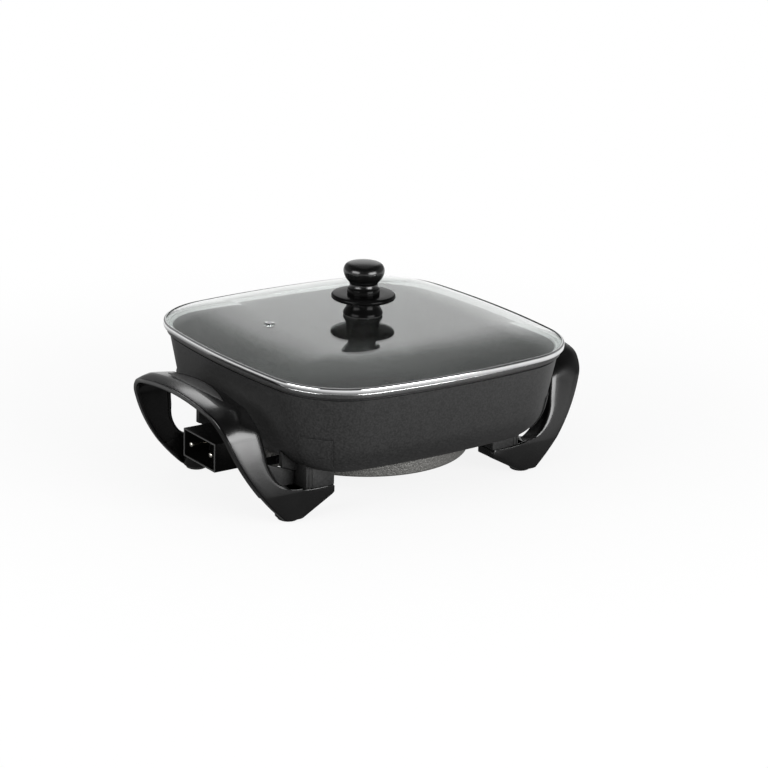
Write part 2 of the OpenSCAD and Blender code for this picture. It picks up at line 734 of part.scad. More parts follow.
pan_body();
heater_plate();
heating_element();
terminal_pin_front();
terminal_pin_rear();
pin_insulator_front();
pin_insulator_rear();
probe_tube();
inlet_bracket();
inlet_shroud();
bracket_screws();
shroud_screws();
handle_left();
handle_right();
handle_screws_left();
handle_screws_right();
grip_inlay_left();
grip_inlay_right();
foot_pad_front_left();
foot_pad_rear_left();
foot_pad_front_right();
foot_pad_rear_right();
lid_glass();
lid_rim();
vent_eyelet();
knob();
knob_guard();
knob_foot();
knob_gasket();
knob_washer();
knob_screw();
knob_insert();
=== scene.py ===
import math

import bmesh
import bpy
from mathutils import Matrix, Vector


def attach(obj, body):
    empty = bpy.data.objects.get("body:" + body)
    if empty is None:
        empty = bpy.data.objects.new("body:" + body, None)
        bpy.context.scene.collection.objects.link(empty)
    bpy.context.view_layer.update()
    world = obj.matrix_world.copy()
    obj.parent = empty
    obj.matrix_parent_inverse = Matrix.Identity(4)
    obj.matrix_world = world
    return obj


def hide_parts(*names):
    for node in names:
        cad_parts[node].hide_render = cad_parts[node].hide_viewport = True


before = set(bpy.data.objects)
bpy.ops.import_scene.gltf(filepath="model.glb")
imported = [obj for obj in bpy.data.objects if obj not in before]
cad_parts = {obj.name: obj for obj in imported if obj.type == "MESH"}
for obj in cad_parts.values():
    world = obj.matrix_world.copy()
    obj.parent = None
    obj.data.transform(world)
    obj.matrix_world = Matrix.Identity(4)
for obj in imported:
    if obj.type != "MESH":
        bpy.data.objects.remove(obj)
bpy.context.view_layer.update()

# Electric skillet: a rounded square pan on a heater ring, two arched handles that are also its feet,
# a socket for a plug-in heat control at -X, and a lift-off glass lid with a steel rim.
# Sizes are in millimetres, as in the part's source, and MM brings them to metres.
MM = 0.001


# Camera at the photograph's viewing angle: angles in degrees, focal length and image centre in pixels

IMAGE = 768
FOCAL = 2494
CENTRE_X, CENTRE_Y = 362.29, 333.48
AZIMUTH, ELEVATION, ROLL = -35.18, 16.64, 1.61
AIM = (0, 0, 124)
DISTANCE = 2179


def place_camera():
    """A camera that looks at the middle of the pan's lip."""
    azimuth, elevation, roll = (math.radians(a) for a in (AZIMUTH, ELEVATION, ROLL))
    level = math.cos(elevation)
    back = Vector((math.sin(azimuth) * level, -math.cos(azimuth) * level, math.sin(elevation)))
    right = Vector((math.cos(azimuth), math.sin(azimuth), 0))
    up = back.cross(right)
    turned_right = right * math.cos(roll) + up * math.sin(roll)
    turned_up = up * math.cos(roll) - right * math.sin(roll)
    turn = Matrix((turned_right, turned_up, back)).transposed().to_4x4()
    camera = bpy.data.objects.new("camera", bpy.data.cameras.new("camera"))
    bpy.context.scene.collection.objects.link(camera)
    camera.matrix_world = Matrix.Translation(Vector(AIM) * MM + back * DISTANCE * MM) @ turn
    camera.data.lens = FOCAL / IMAGE * camera.data.sensor_width
    camera.data.shift_x = (IMAGE / 2 - CENTRE_X) / IMAGE
    camera.data.shift_y = (CENTRE_Y - IMAGE / 2) / IMAGE
    camera.data.clip_end = 100
    bpy.context.scene.camera = camera


place_camera()


# Materials

# The sockets of a Mix node that mixes colours go by number, because other kinds of value share their names
SHARE, FIRST, SECOND, MIXED = 0, 6, 7, 2


def linear(colour):
    """The linear colour of an sRGB hex value."""
    shares = [int(colour[i:i + 2], 16) / 255 for i in (1, 3, 5)]
    return [s / 12.92 if s <= 0.04045 else ((s + 0.055) / 1.055) ** 2.4 for s in shares] + [1]


def add(tree, kind, inputs, **settings):
    """Adds a node with its settings. An input is a number, a colour, or the socket that feeds it."""
    node = tree.nodes.new(kind)
    for name, value in settings.items():
        setattr(node, name, value)
    for name, value in inputs.items():
        if isinstance(value, bpy.types.NodeSocket):
            tree.links.new(value, node.inputs[name])
        else:
            node.inputs[name].default_value = value
    return node


def fresh(name):
    """A new material, its node tree and the Object coordinates that its patterns use."""
    material = bpy.data.materials.new(name)
    material.use_nodes = True
    tree = material.node_tree
    tree.nodes.clear()
    place = add(tree, "ShaderNodeTexCoord", {}).outputs["Object"]
    return material, tree, place


def finished(material, tree, inputs):
    """Ends a material with its shader."""
    shader = add(tree, "ShaderNodeBsdfPrincipled", inputs)
    add(tree, "ShaderNodeOutputMaterial", {"Surface": shader.outputs["BSDF"]})
    return material


def nonstick_on_cast_aluminium():
    # Sprayed non-stick coat on a die casting: near black, matt, with a fine even orange peel
    # and a speckle of about 1.6 mm. The real peel is about 0.3 mm, drawn at 1.2 mm so that it shows.
    material, tree, place = fresh("nonstick_on_cast_aluminium")
    peel = add(tree, "ShaderNodeTexNoise", {"Vector": place, "Scale": 1 / (1.2 * MM), "Detail": 3.0})
    speckle = add(tree, "ShaderNodeTexNoise", {"Vector": place, "Scale": 1 / (1.6 * MM), "Detail": 2.0})
    spread = add(tree, "ShaderNodeMapRange", {"Value": speckle.outputs["Fac"], "From Min": 0.35,
        "From Max": 0.65})
    colour = add(tree, "ShaderNodeMix", {SHARE: spread.outputs[0], FIRST: linear("#101010"),
        SECOND: linear("#232323")}, data_type="RGBA")
    rough = add(tree, "ShaderNodeMapRange", {"Value": peel.outputs["Fac"], "To Min": 0.4, "To Max": 0.56})
    bump = add(tree, "ShaderNodeBump", {"Height": peel.outputs["Fac"], "Strength": 0.22,
        "Distance": 0.12 * MM})
    return finished(material, tree, {"Base Color": colour.outputs[MIXED], "Roughness": rough.outputs[0],
        "Normal": bump.outputs[0], "IOR": 1.5})


def sandblasted_casting():
    # Bare sand-textured casting under the pan: dark grey with a coarse glittering grain of about 2 mm.
    material, tree, place = fresh("sandblasted_casting")
    grain = add(tree, "ShaderNodeTexVoronoi", {"Vector": place, "Scale": 1 / (2.2 * MM)})
    fleck = add(tree, "ShaderNodeTexNoise", {"Vector": place, "Scale": 1 / (1.1 * MM), "Detail": 4.0})
    height = add(tree, "ShaderNodeMath", {0: grain.outputs["Distance"], 1: fleck.outputs["Fac"]},
        operation="ADD")
    colour = add(tree, "ShaderNodeMix", {SHARE: fleck.outputs["Fac"], FIRST: linear("#2a2a29"),
        SECOND: linear("#7c7b78")}, data_type="RGBA")
    rough = add(tree, "ShaderNodeMapRange", {"Value": grain.outputs["Distance"], "To Min": 0.38,
        "To Max": 0.6})
    bump = add(tree, "ShaderNodeBump", {"Height": height.outputs[0], "Strength": 0.8, "Distance": 0.6 * MM})
    return finished(material, tree, {"Base Color": colour.outputs[MIXED], "Roughness": rough.outputs[0],
        "Normal": bump.outputs[0], "Metallic": 0.35})


def polished_phenolic():
    # Compression-moulded phenolic: deep black and glossy, with faint flow clouds in the gloss
    # and a hardly visible ripple of about 9 mm.
    material, tree, place = fresh("polished_phenolic")
    flow = add(tree, "ShaderNodeTexNoise", {"Vector": place, "Scale": 1 / (18 * MM), "Detail": 4.0})
    ripple = add(tree, "ShaderNodeTexNoise", {"Vector": place, "Scale": 1 / (9 * MM), "Detail": 1.0})
    colour = add(tree, "ShaderNodeMix", {SHARE: flow.outputs["Fac"], FIRST: linear("#050505"),
        SECOND: linear("#0b0b0b")}, data_type="RGBA")
    rough = add(tree, "ShaderNodeMapRange", {"Value": flow.outputs["Fac"], "To Min": 0.19, "To Max": 0.27})
    bump = add(tree, "ShaderNodeBump", {"Height": ripple.outputs["Fac"], "Strength": 0.12,
        "Distance": 0.2 * MM})
    return finished(material, tree, {"Base Color": colour.outputs[MIXED], "Roughness": rough.outputs[0],
        "Normal": bump.outputs[0], "IOR": 1.52})


def moulded_phenolic():
    # A darker grade for the knob's collar, skirt and stem: black, smooth, and less shiny than the rest.
    material, tree, place = fresh("moulded_phenolic")
    flow = add(tree, "ShaderNodeTexNoise", {"Vector": place, "Scale": 1 / (14 * MM), "Detail": 4.0})
    colour = add(tree, "ShaderNodeMix", {SHARE: flow.outputs["Fac"], FIRST: linear("#060606"),
        SECOND: linear("#0c0c0c")}, data_type="RGBA")
    rough = add(tree, "ShaderNodeMapRange", {"Value": flow.outputs["Fac"], "To Min": 0.12, "To Max": 0.22})
    return finished(material, tree, {"Base Color": colour.outputs[MIXED], "Roughness": rough.outputs[0],
        "Specular IOR Level": 0.06})


def pebbled_grip():
    # Moulded grip plate: charcoal with a matt pebble of about 1.4 mm, and painted shade in the hollows
    # between the pebbles.
    material, tree, place = fresh("pebbled_grip")
    pebble = add(tree, "ShaderNodeTexVoronoi", {"Vector": place, "Scale": 1 / (1.4 * MM)},
        feature="SMOOTH_F1")
    # Painted shade: the colour follows the bump, darker towards each pebble's edge, where the hollows are
    colour = add(tree, "ShaderNodeMix", {SHARE: pebble.outputs["Distance"], FIRST: linear("#262626"),
        SECOND: linear("#181818")}, data_type="RGBA")
    rough = add(tree, "ShaderNodeMapRange", {"Value": pebble.outputs["Distance"], "To Min": 0.42,
        "To Max": 0.6})
    bump = add(tree, "ShaderNodeBump", {"Height": pebble.outputs["Distance"], "Strength": 0.6,
        "Distance": 0.3 * MM}, invert=True)
    return finished(material, tree, {"Base Color": colour.outputs[MIXED], "Roughness": rough.outputs[0],
        "Normal": bump.outputs[0]})


def eroded_plastic():
    # Heat-proof moulding from a spark-eroded tool: black with a fine satin grain of about 0.6 mm,
    # and a grey painted highlight on the rim of its mouth, at x = -165.7 mm, where the plug goes in,
    # standing in for the light that this edge catches.
    material, tree, place = fresh("eroded_plastic")
    grain = add(tree, "ShaderNodeTexNoise", {"Vector": place, "Scale": 1 / (0.6 * MM), "Detail": 2.0})
    black = add(tree, "ShaderNodeMix", {SHARE: grain.outputs["Fac"], FIRST: linear("#030303"),
        SECOND: linear("#080808")}, data_type="RGBA")
    axes = add(tree, "ShaderNodeSeparateXYZ", {0: place})
    # Painted highlight: the mouth's rim, at x below -165.5 mm, is coloured grey for the light that its edge
    # catches
    painted_rim_highlight = add(tree, "ShaderNodeMapRange", {"Value": axes.outputs["X"], "From Min": -165.5 * MM,
        "From Max": -164.9 * MM, "To Min": 1.0, "To Max": 0.0})
    colour = add(tree, "ShaderNodeMix", {SHARE: painted_rim_highlight.outputs[0], FIRST: black.outputs[MIXED],
        SECOND: linear("#3e3e3e")}, data_type="RGBA")
    rough = add(tree, "ShaderNodeMapRange", {"Value": grain.outputs["Fac"], "To Min": 0.34, "To Max": 0.5})
    bump = add(tree, "ShaderNodeBump", {"Height": grain.outputs["Fac"], "Strength": 0.2,
        "Distance": 0.06 * MM})
    return finished(material, tree, {"Base Color": colour.outputs[MIXED], "Roughness": rough.outputs[0],
        "Normal": bump.outputs[0], "Specular IOR Level": 0.08})


def tempered_glass():
    # Clear pressed glass: colourless face, with the faintest wave of about 30 mm left by the press.
    material, tree, place = fresh("tempered_glass")
    wave = add(tree, "ShaderNodeTexNoise", {"Vector": place, "Scale": 1 / (30 * MM), "Detail": 1.0})
    bump = add(tree, "ShaderNodeBump", {"Height": wave.outputs["Fac"], "Strength": 0.04,
        "Distance": 0.2 * MM})
    smear = add(tree, "ShaderNodeMapRange", {"Value": wave.outputs["Fac"], "To Min": 0.0, "To Max": 0.02})
    return finished(material, tree, {"Base Color": linear("#f4f8f6"), "Roughness": smear.outputs[0],
        "Normal": bump.outputs[0], "IOR": 1.5, "Transmission Weight": 1.0})


def metal(name, low, high, rough_low, rough_high, lines, depth):
    """A bare or plated metal: colour and gloss vary a little, and fine marks run at a given spacing."""
    material, tree, place = fresh(name)
    marks = add(tree, "ShaderNodeTexNoise", {"Vector": place, "Scale": 1 / (lines * MM), "Detail": 3.0})
    tone = add(tree, "ShaderNodeTexNoise", {"Vector": place, "Scale": 1 / (12 * MM), "Detail": 2.0})
    colour = add(tree, "ShaderNodeMix", {SHARE: tone.outputs["Fac"], FIRST: linear(low),
        SECOND: linear(high)}, data_type="RGBA")
    rough = add(tree, "ShaderNodeMapRange", {"Value": marks.outputs["Fac"], "To Min": rough_low,
        "To Max": rough_high})
    bump = add(tree, "ShaderNodeBump", {"Height": marks.outputs["Fac"], "Strength": 0.15,
        "Distance": depth * MM})
    return finished(material, tree, {"Base Color": colour.outputs[MIXED], "Roughness": rough.outputs[0],
        "Normal": bump.outputs[0], "Metallic": 1.0})


def polished_stainless():
    # Rolled stainless strip, polished: bright and neutral, with soft hairlines.
    return metal("polished_stainless", "#d6d7d8", "#e6e6e6", 0.08, 0.18, 0.8, 0.01)


def nickel_plate():
    # Bright nickel on the terminal pins: slightly warm and very smooth.
    return metal("nickel_plate", "#d8d4cc", "#eeeae2", 0.12, 0.22, 0.6, 0.01)


def zinc_plated_steel():
    # Blanked and zinc-plated sheet: cool grey with a dull, blotchy shine.
    return metal("zinc_plated_steel", "#8e9195", "#b4b7ba", 0.28, 0.45, 1.5, 0.03)


def phosphated_steel():
    # Sheet bracket with a dark phosphate coat: charcoal, dry, with a faint metal sheen.
    return metal("phosphated_steel", "#1e1e1f", "#2c2c2d", 0.5, 0.65, 1.5, 0.03)


def machined_aluminium():
    # The pan's lip, turned bare after coating: bright, with fine tool marks.
    return metal("machined_aluminium", "#d4d5d6", "#e6e6e6", 0.22, 0.34, 0.7, 0.01)


def heat_stained_sheath():
    # Steel sheath of the heating tube: brownish grey from heat, dull.
    return metal("heat_stained_sheath", "#5c534c", "#857a70", 0.4, 0.58, 1.0, 0.04)


def turned_brass():
    # Turned brass insert: yellow, with fine tool marks.
    return metal("turned_brass", "#a8873c", "#c4a455", 0.2, 0.34, 0.7, 0.02)


def fired_ceramic():
    # Fired ceramic bush: cream, hard and slightly speckled.
    material, tree, place = fresh("fired_ceramic")
    speck = add(tree, "ShaderNodeTexNoise", {"Vector": place, "Scale": 1 / (0.8 * MM), "Detail": 3.0})
    colour = add(tree, "ShaderNodeMix", {SHARE: speck.outputs["Fac"], FIRST: linear("#cfc6b2"),
        SECOND: linear("#e8e2d4")}, data_type="RGBA")
    rough = add(tree, "ShaderNodeMapRange", {"Value": speck.outputs["Fac"], "To Min": 0.4, "To Max": 0.55})
    return finished(material, tree, {"Base Color": colour.outputs[MIXED], "Roughness": rough.outputs[0]})


def moulded_rubber():
    # Moulded rubber: dark, dry and matt, with a chalky bloom.
    material, tree, place = fresh("moulded_rubber")
    bloom = add(tree, "ShaderNodeTexNoise", {"Vector": place, "Scale": 1 / (3 * MM), "Detail": 4.0})
    colour = add(tree, "ShaderNodeMix", {SHARE: bloom.outputs["Fac"], FIRST: linear("#141414"),
        SECOND: linear("#242424")}, data_type="RGBA")
    rough = add(tree, "ShaderNodeMapRange", {"Value": bloom.outputs["Fac"], "To Min": 0.62, "To Max": 0.8})
    bump = add(tree, "ShaderNodeBump", {"Height": bloom.outputs["Fac"], "Strength": 0.2,
        "Distance": 0.1 * MM})
    return finished(material, tree, {"Base Color": colour.outputs[MIXED], "Roughness": rough.outputs[0],
        "Normal": bump.outputs[0]})


COAT = nonstick_on_cast_aluminium()
CASTING = sandblasted_casting()
PHENOLIC = polished_phenolic()
MOULDED = moulded_phenolic()
GRIP = pebbled_grip()
PLASTIC = eroded_plastic()
GLASS = tempered_glass()
STAINLESS = polished_stainless()
NICKEL = nickel_plate()
ZINC = zinc_plated_steel()
PHOSPHATE = phosphated_steel()
BARE = machined_aluminium()
SHEATH = heat_stained_sheath()
BRASS = turned_brass()
CERAMIC = fired_ceramic()
RUBBER = moulded_rubber()


# Modelling steps that several pieces share

# Steps in a rounded edge, and the turn in degrees from which an edge is rounded
EDGE_STEPS, SHARP = 3, 35


def deselect():
    bpy.ops.object.select_all(action="DESELECT")


def pick(piece):
    """Selects one piece and makes it the active one."""
    deselect()
    piece.select_set(True)
    bpy.context.view_layer.objects.active = piece


def put(points, ring):
    """Moves a ring of mesh points to a loop of places in millimetres."""
    for point, place in zip(ring, points):
        point.co = Vector(place) * MM


def close_end(mesh, ring):
    """Fills a ring of points with one face."""
    bpy.ops.mesh.select_all(action="DESELECT")
    for point in ring:
        point.select = True
    mesh.select_flush(True)
    bpy.ops.mesh.edge_face_add()


def outward():
    """Closes the seams of the mesh in edit mode and points its faces outwards."""
    bpy.ops.mesh.select_all(action="SELECT")
    bpy.ops.mesh.remove_doubles(threshold=1e-6)
    bpy.ops.mesh.normals_make_consistent(inside=False)
    bpy.ops.object.mode_set(mode="OBJECT")


def drawn_out(name, loops, ends=True):
    """A ring of points is laid on the first loop, then extruded from each loop to the next."""
    deselect()
    bpy.ops.mesh.primitive_circle_add(vertices=len(loops[0]), radius=0.1)
    piece = bpy.context.object
    piece.name = name
    bpy.ops.object.mode_set(mode="EDIT")
    mesh = bmesh.from_edit_mesh(piece.data)
    ring = first = list(mesh.verts)
    put(loops[0], ring)
    for loop in loops[1:]:
        bpy.ops.mesh.extrude_region_move()
        ring = [next(e.other_vert(p) for e in p.link_edges if e.other_vert(p).select) for p in ring]
        put(loop, ring)
    if ends:
        close_end(mesh, ring)
        close_end(mesh, first)
    outward()
    return piece


def spun(name, profile, steps, axis="Z", centre=(0, 0, 0)):
    """One point is extruded along a profile of [radius, distance along the axis], then spun round it."""
    deselect()
    bpy.ops.mesh.primitive_plane_add(size=0.01)
    piece = bpy.context.object
    piece.name = name
    bpy.ops.object.mode_set(mode="EDIT")
    bpy.ops.mesh.merge(type="CENTER")
    mesh = bmesh.from_edit_mesh(piece.data)
    along = Vector((1, 0, 0)) if axis == "X" else Vector((0, 0, 1))
    across = Vector((0, 0, 1)) if axis == "X" else Vector((1, 0, 0))
    places = [(Vector(centre) + across * r + along * d) * MM for r, d in profile]
    mesh.verts.ensure_lookup_table()
    mesh.verts[0].co = places[0]
    for start, end in zip(places, places[1:]):
        bpy.ops.mesh.extrude_region_move(TRANSFORM_OT_translate={"value": end - start})
    bpy.ops.mesh.select_all(action="SELECT")
    bpy.ops.mesh.spin(steps=steps, angle=2 * math.pi, center=Vector(centre) * MM, axis=along)
    outward()
    return piece


def rod(name, radius, low, high, centre, steps):
    """An upright round tool for cutting holes and flutes."""
    return spun(name, [(0, low), (radius, low), (radius, high), (0, high)], steps, centre=centre)


def block(name, low, high, bevel=0.0):
    """A box between two corners, with its edges rounded where a bevel is given."""
    deselect()
    low, high = Vector(low), Vector(high)
    bpy.ops.mesh.primitive_cube_add(size=1, location=(low + high) / 2 * MM, scale=(high - low) * MM)
    piece = bpy.context.object
    piece.name = name
    bpy.ops.object.transform_apply(location=True, rotation=True, scale=True)
    if bevel:
        bpy.ops.object.mode_set(mode="EDIT")
        bpy.ops.mesh.bevel(offset=bevel * MM, segments=EDGE_STEPS, affect="EDGES")
        bpy.ops.object.mode_set(mode="OBJECT")
    return piece


def rounded(piece, width):
    """Rounds the sharp edges of a piece."""
    pick(piece)
    bevel = piece.modifiers.new("edges", "BEVEL")
    bevel.width = width * MM
    bevel.segments = EDGE_STEPS
    bevel.limit_method = "ANGLE"
    bevel.angle_limit = math.radians(SHARP)
    bpy.ops.object.modifier_apply(modifier=bevel.name)


def cut(piece, *tools):
    """Takes the tools' shapes out of a piece."""
    for tool in tools:
        pick(piece)
        hole = piece.modifiers.new("hole", "BOOLEAN")
        hole.object = tool
        hole.solver = "EXACT"
        bpy.ops.object.modifier_apply(modifier=hole.name)
        bpy.data.objects.remove(tool)


def joined(piece, *others):
    """Makes one piece of several."""
    pick(piece)
    for other in others:
        other.select_set(True)
    bpy.ops.object.join()
    return piece


def copied(piece, name, move=(0, 0, 0), flip=(1, 1, 1)):
    """A copy with its own mesh, moved or mirrored, its faces still outwards."""
    pick(piece)
    bpy.ops.object.duplicate()
    copy = bpy.context.object
    copy.name = name
    copy.location = Vector(move) * MM
    copy.scale = flip
    bpy.ops.object.transform_apply(location=True, rotation=True, scale=True)
    if min(flip) < 0:
        bpy.ops.object.mode_set(mode="EDIT")
        bpy.ops.mesh.select_all(action="SELECT")
        bpy.ops.mesh.normals_make_consistent(inside=False)
        bpy.ops.object.mode_set(mode="OBJECT")
    return copy


def dress(piece, material, body, node, smooth=40):
    """Gives a piece its finish, puts it on the body that carries it, and hides the solid that it takes the
    place of.
    """
    pick(piece)
    bpy.ops.object.shade_smooth_by_angle(angle=math.radians(smooth))
    piece.data.materials.clear()
    piece.data.materials.append(material)
    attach(piece, body)
    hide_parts(node)


def arc(centre, radius, start, end, steps):
    """Points along an arc, angles in degrees."""
    turns = [math.radians(start + (end - start) * i / steps) for i in range(steps + 1)]
    return [(centre[0] + radius * math.cos(t), centre[1] + radius * math.sin(t)) for t in turns]


def ease(share):
    """A share from 0 to 1 that starts and ends softly."""
    share = min(1, max(0, share))
    return share * share * (3 - 2 * share)


# The outline that the pan and the lid share: four bowed sides and four corner arcs

HALF_W, CORNER_R, BOW_R = 150, 71, 725
SIDE_STEPS, CORNER_STEPS = 12, 24
BOW_GAP = BOW_R - HALF_W
REACH = BOW_R - CORNER_R
CORNER_C = (math.sqrt(2 * REACH ** 2 - BOW_GAP ** 2) - BOW_GAP) / 2
SIDE_TURN = math.degrees(math.atan2(CORNER_C, CORNER_C + BOW_GAP))


def outline(u):
    """The outline at a distance u from its corner centres."""
    quarter = arc((-BOW_GAP, 0), REACH + u, -SIDE_TURN, SIDE_TURN, SIDE_STEPS)[:-1]
    quarter += arc((CORNER_C, CORNER_C), u, SIDE_TURN, 90 - SIDE_TURN, CORNER_STEPS)[:-1]
    points = quarter
    for turn in range(3):
        quarter = [(-y, x) for x, y in quarter]
        points = points + quarter
    return points


def around(profile):
    """A profile of (u, height) carried round the outline, as one loop for each of its points."""
    return [[(x, y, z) for x, y in outline(u)] for u, z in profile]


# Pan

LIP_Z, PAN_UNDER_Z, WALL_T, DRAFT, FILLET = 124, 42, 4.5, 11, 38
FILLET_STEPS = 20
LIP_U = CORNER_R - 3
WALL_TOP_U, WALL_TOP_Z = LIP_U - 2.4, LIP_Z - 6
FILLET_Z = PAN_UNDER_Z + FILLET
SLOPE = math.tan(math.radians(DRAFT))
# The u at which the flat middle of the pan's floor starts
MIDDLE_U = 2


def wall_u(z):
    """The outside of the pan's wall at a height."""
    return WALL_TOP_U - (WALL_TOP_Z - z) * SLOPE


FILLET_U = (wall_u(FILLET_Z - FILLET * math.sin(math.radians(DRAFT)))
    - FILLET * math.cos(math.radians(DRAFT)))

# The raised patch near each corner: its heights, its ends in degrees round the corner, and its thickness
PANEL_LOW_Z, PANEL_TOP_Z = 52, 81
PANEL_START, PANEL_END = 22, 52
PANEL_PROUD = 1.2


def raised_panels(shell):
    """Lifts a patch of the wall near each corner, as the casting has beside its lugs."""
    pick(shell)
    bpy.ops.object.mode_set(mode="EDIT")
    bpy.ops.mesh.select_mode(type="FACE")
    mesh = bmesh.from_edit_mesh(shell.data)
    bpy.ops.mesh.select_all(action="DESELECT")
    for face in mesh.faces:
        middle = face.calc_center_median() / MM
        turn = math.degrees(math.atan2(abs(middle.y) - CORNER_C, abs(middle.x) - CORNER_C))
        outer = face.normal.x * middle.x + face.normal.y * middle.y > 0
        if outer and PANEL_START < turn < PANEL_END and PANEL_LOW_Z < middle.z < PANEL_TOP_Z:
            face.select_set(True)
    bpy.ops.mesh.extrude_region_shrink_fatten(TRANSFORM_OT_shrink_fatten={"value": PANEL_PROUD * MM})
    bpy.ops.mesh.select_mode(type="VERT")
    bpy.ops.object.mode_set(mode="OBJECT")


# The four cast lugs that the handles are screwed to, each with two flutes and a rib
LUG_X, LUG_Y, LUG_Z = (84, 112), (64.1, 84.1), (26.5, 47)
FLUTE_X, FLUTE_Y, FLUTE_R = (106.5, 110), 84.5, 1.1
RIB_SIDE = [(107, 39), (107, 44.5), (118, 50), (127, 58), (127, 44.1), (113, 38.9)]
RIB_Y = (69, 64.4)


def lug(x, y):
    """A cast foot of the pan, with two upright flutes at its outer front corner."""
    x_low, x_high = sorted(x * size for size in LUG_X)
    y_low, y_high = sorted(y * size for size in LUG_Y)
    body = block("lug", (x_low, y_low, LUG_Z[0]), (x_high, y_high, LUG_Z[1]))
    for place in FLUTE_X:
        cut(body, rod("flute", FLUTE_R, 20, 60, (x * place, y * FLUTE_Y, 0), 16))
    rounded(body, 1)
    rib = drawn_out("rib", [[(x * a, y * b, z) for a, z in RIB_SIDE] for b in RIB_Y])
    rounded(rib, 0.6)
    joined(body, rib)
    bpy.ops.object.mode_set(mode="EDIT")
    outward()
    return body


def pan():
    """The pan with its groove under the lip, and the lip's bare top."""
    outside = [(MIDDLE_U, PAN_UNDER_Z)] + arc((FILLET_U, FILLET_Z), FILLET, -90, -DRAFT, FILLET_STEPS)
    outside += [(wall_u(z), z) for z in (PANEL_TOP_Z, 90, 105, 112, 116.6)]
    lip = [(WALL_TOP_U - 1.8, 116.7), (WALL_TOP_U - 1.8, 117.6), (WALL_TOP_U + 0.1, 117.9)]
    lip += [(LIP_U - 0.4, 118.9), (LIP_U - 0.1, 119.3), (LIP_U, 119.9), (LIP_U, 122.9)]
    lip += [(LIP_U - 0.35, LIP_Z - 0.4), (LIP_U - 1.2, LIP_Z)]
    inset = WALL_T / math.cos(math.radians(DRAFT))
    inner_top = wall_u(LIP_Z) - inset
    lip += [(inner_top + 1.4, LIP_Z), (inner_top + 0.4, LIP_Z - 0.4)]
    lip += [(wall_u(LIP_Z - 1.4) - inset, LIP_Z - 1.4)]
    inside = [(wall_u(z) - inset, z) for z in (112, 95)]
    inside += arc((FILLET_U, FILLET_Z), FILLET - WALL_T, -DRAFT, -90, FILLET_STEPS)
    inside += [(MIDDLE_U, PAN_UNDER_Z + WALL_T)]
    shell = drawn_out("pan", around(outside + lip + inside))
    raised_panels(shell)
    for x in (-1, 1):
        for y in (-1, 1):
            shell = joined(shell, lug(x, y))
    dress(shell, COAT, "base", "pan_body")
    shell.data.materials.append(BARE)
    for face in shell.data.polygons:
        if face.center.z > (LIP_Z - 1.2) * MM and face.normal.z > 0.3:
            face.material_index = 1


pan()


# Heater ring under the pan, with the two bosses that carry the inlet's bracket, and the tube cast into it

RING_IN, RING_OUT, RING_LOW_Z, RING_EDGE = 64, 96, 25, 2.5
BOSS_Y, BOSS_HALF = 24.15, 3.5
COIL_R, COIL_Z, TUBE_R = 80, 33.5, 3.3
PIN_Y = 15.85


def heater_ring():
    edge = arc((RING_OUT - RING_EDGE, RING_LOW_Z + RING_EDGE), RING_EDGE, -90, 0, 5)
    inner = [(RING_IN, PAN_UNDER_Z), (RING_IN, RING_LOW_Z + 1.5), (RING_IN + 1.5, RING_LOW_Z)]
    top = [(RING_OUT, PAN_UNDER_Z - 0.1), (RING_IN, PAN_UNDER_Z)]
    ring = spun("heater_ring", inner + edge + top, 128)
    for side in (-1, 1):
        low, high = side * BOSS_Y - BOSS_HALF, side * BOSS_Y + BOSS_HALF
        ring = joined(ring, block("boss", (-112, low, 28), (-80, high, 41.8), 1))
    dress(ring, CASTING, "base", "heater_plate")


def heating_tube():
    """A round tube along a loop in the ring, whose two cold ends rise to the terminal pins."""
    loop = arc((0, 0), COIL_R, -160, 160, 64)
    ends = [(-131.2, 45.5), (-128, 45.4), (-124, 43.5), (-114, 36.2), (-109, 33.9), (-104, COIL_Z)]
    ends += [(-92, COIL_Z)]
    path = [Vector((x, -PIN_Y, z)) for x, z in ends] + [Vector((x, y, COIL_Z)) for x, y in loop]
    path += [Vector((x, PIN_Y, z)) for x, z in reversed(ends)]
    loops = []
    for i, middle in enumerate(path):
        ahead = (path[min(i + 1, len(path) - 1)] - path[max(i - 1, 0)]).normalized()
        across = ahead.cross(Vector((0, 0, 1))).normalized()
        over = across.cross(ahead)
        loops.append([middle + TUBE_R * (across * c + over * s) for c, s in arc((0, 0), 1, 0, 345, 23)])
    tube = drawn_out("heating_tube", loops)
    dress(tube, SHEATH, "base", "heating_element")


heater_ring()
heating_tube()


# Inlet for a plug-in heat control

INLET_X, INLET_Z = -165.7, 45.5
SHROUD_BACK_X, SHROUD_HALF_W, SHROUD_HALF_H = -137.7, 25.4, 12.6
SHROUD_T, SHROUD_DEEP = 1.4, 25.2
PIN_R, PIN_NECK_R, BUSH_R, BUSH_IN = 2.4, 2.1, 4.5, 2.3


def shroud():
    """A box whose outer end is inset and pushed in."""
    low = (INLET_X, -SHROUD_HALF_W, INLET_Z - SHROUD_HALF_H)
    box = block("shroud", low, (SHROUD_BACK_X, SHROUD_HALF_W, INLET_Z + SHROUD_HALF_H))
    bpy.ops.object.mode_set(mode="EDIT")
    mesh = bmesh.from_edit_mesh(box.data)
    bpy.ops.mesh.select_all(action="DESELECT")
    for face in mesh.faces:
        if face.normal.x < -0.9:
            face.select_set(True)
    mesh.select_flush_mode()
    bpy.ops.mesh.inset(thickness=SHROUD_T * MM)
    bpy.ops.mesh.extrude_region_move(TRANSFORM_OT_translate={"value": (SHROUD_DEEP * MM, 0, 0)})
    bpy.ops.object.mode_set(mode="OBJECT")
    rounded(box, 0.45)
    dress(box, PLASTIC, "base", "inlet_shroud")


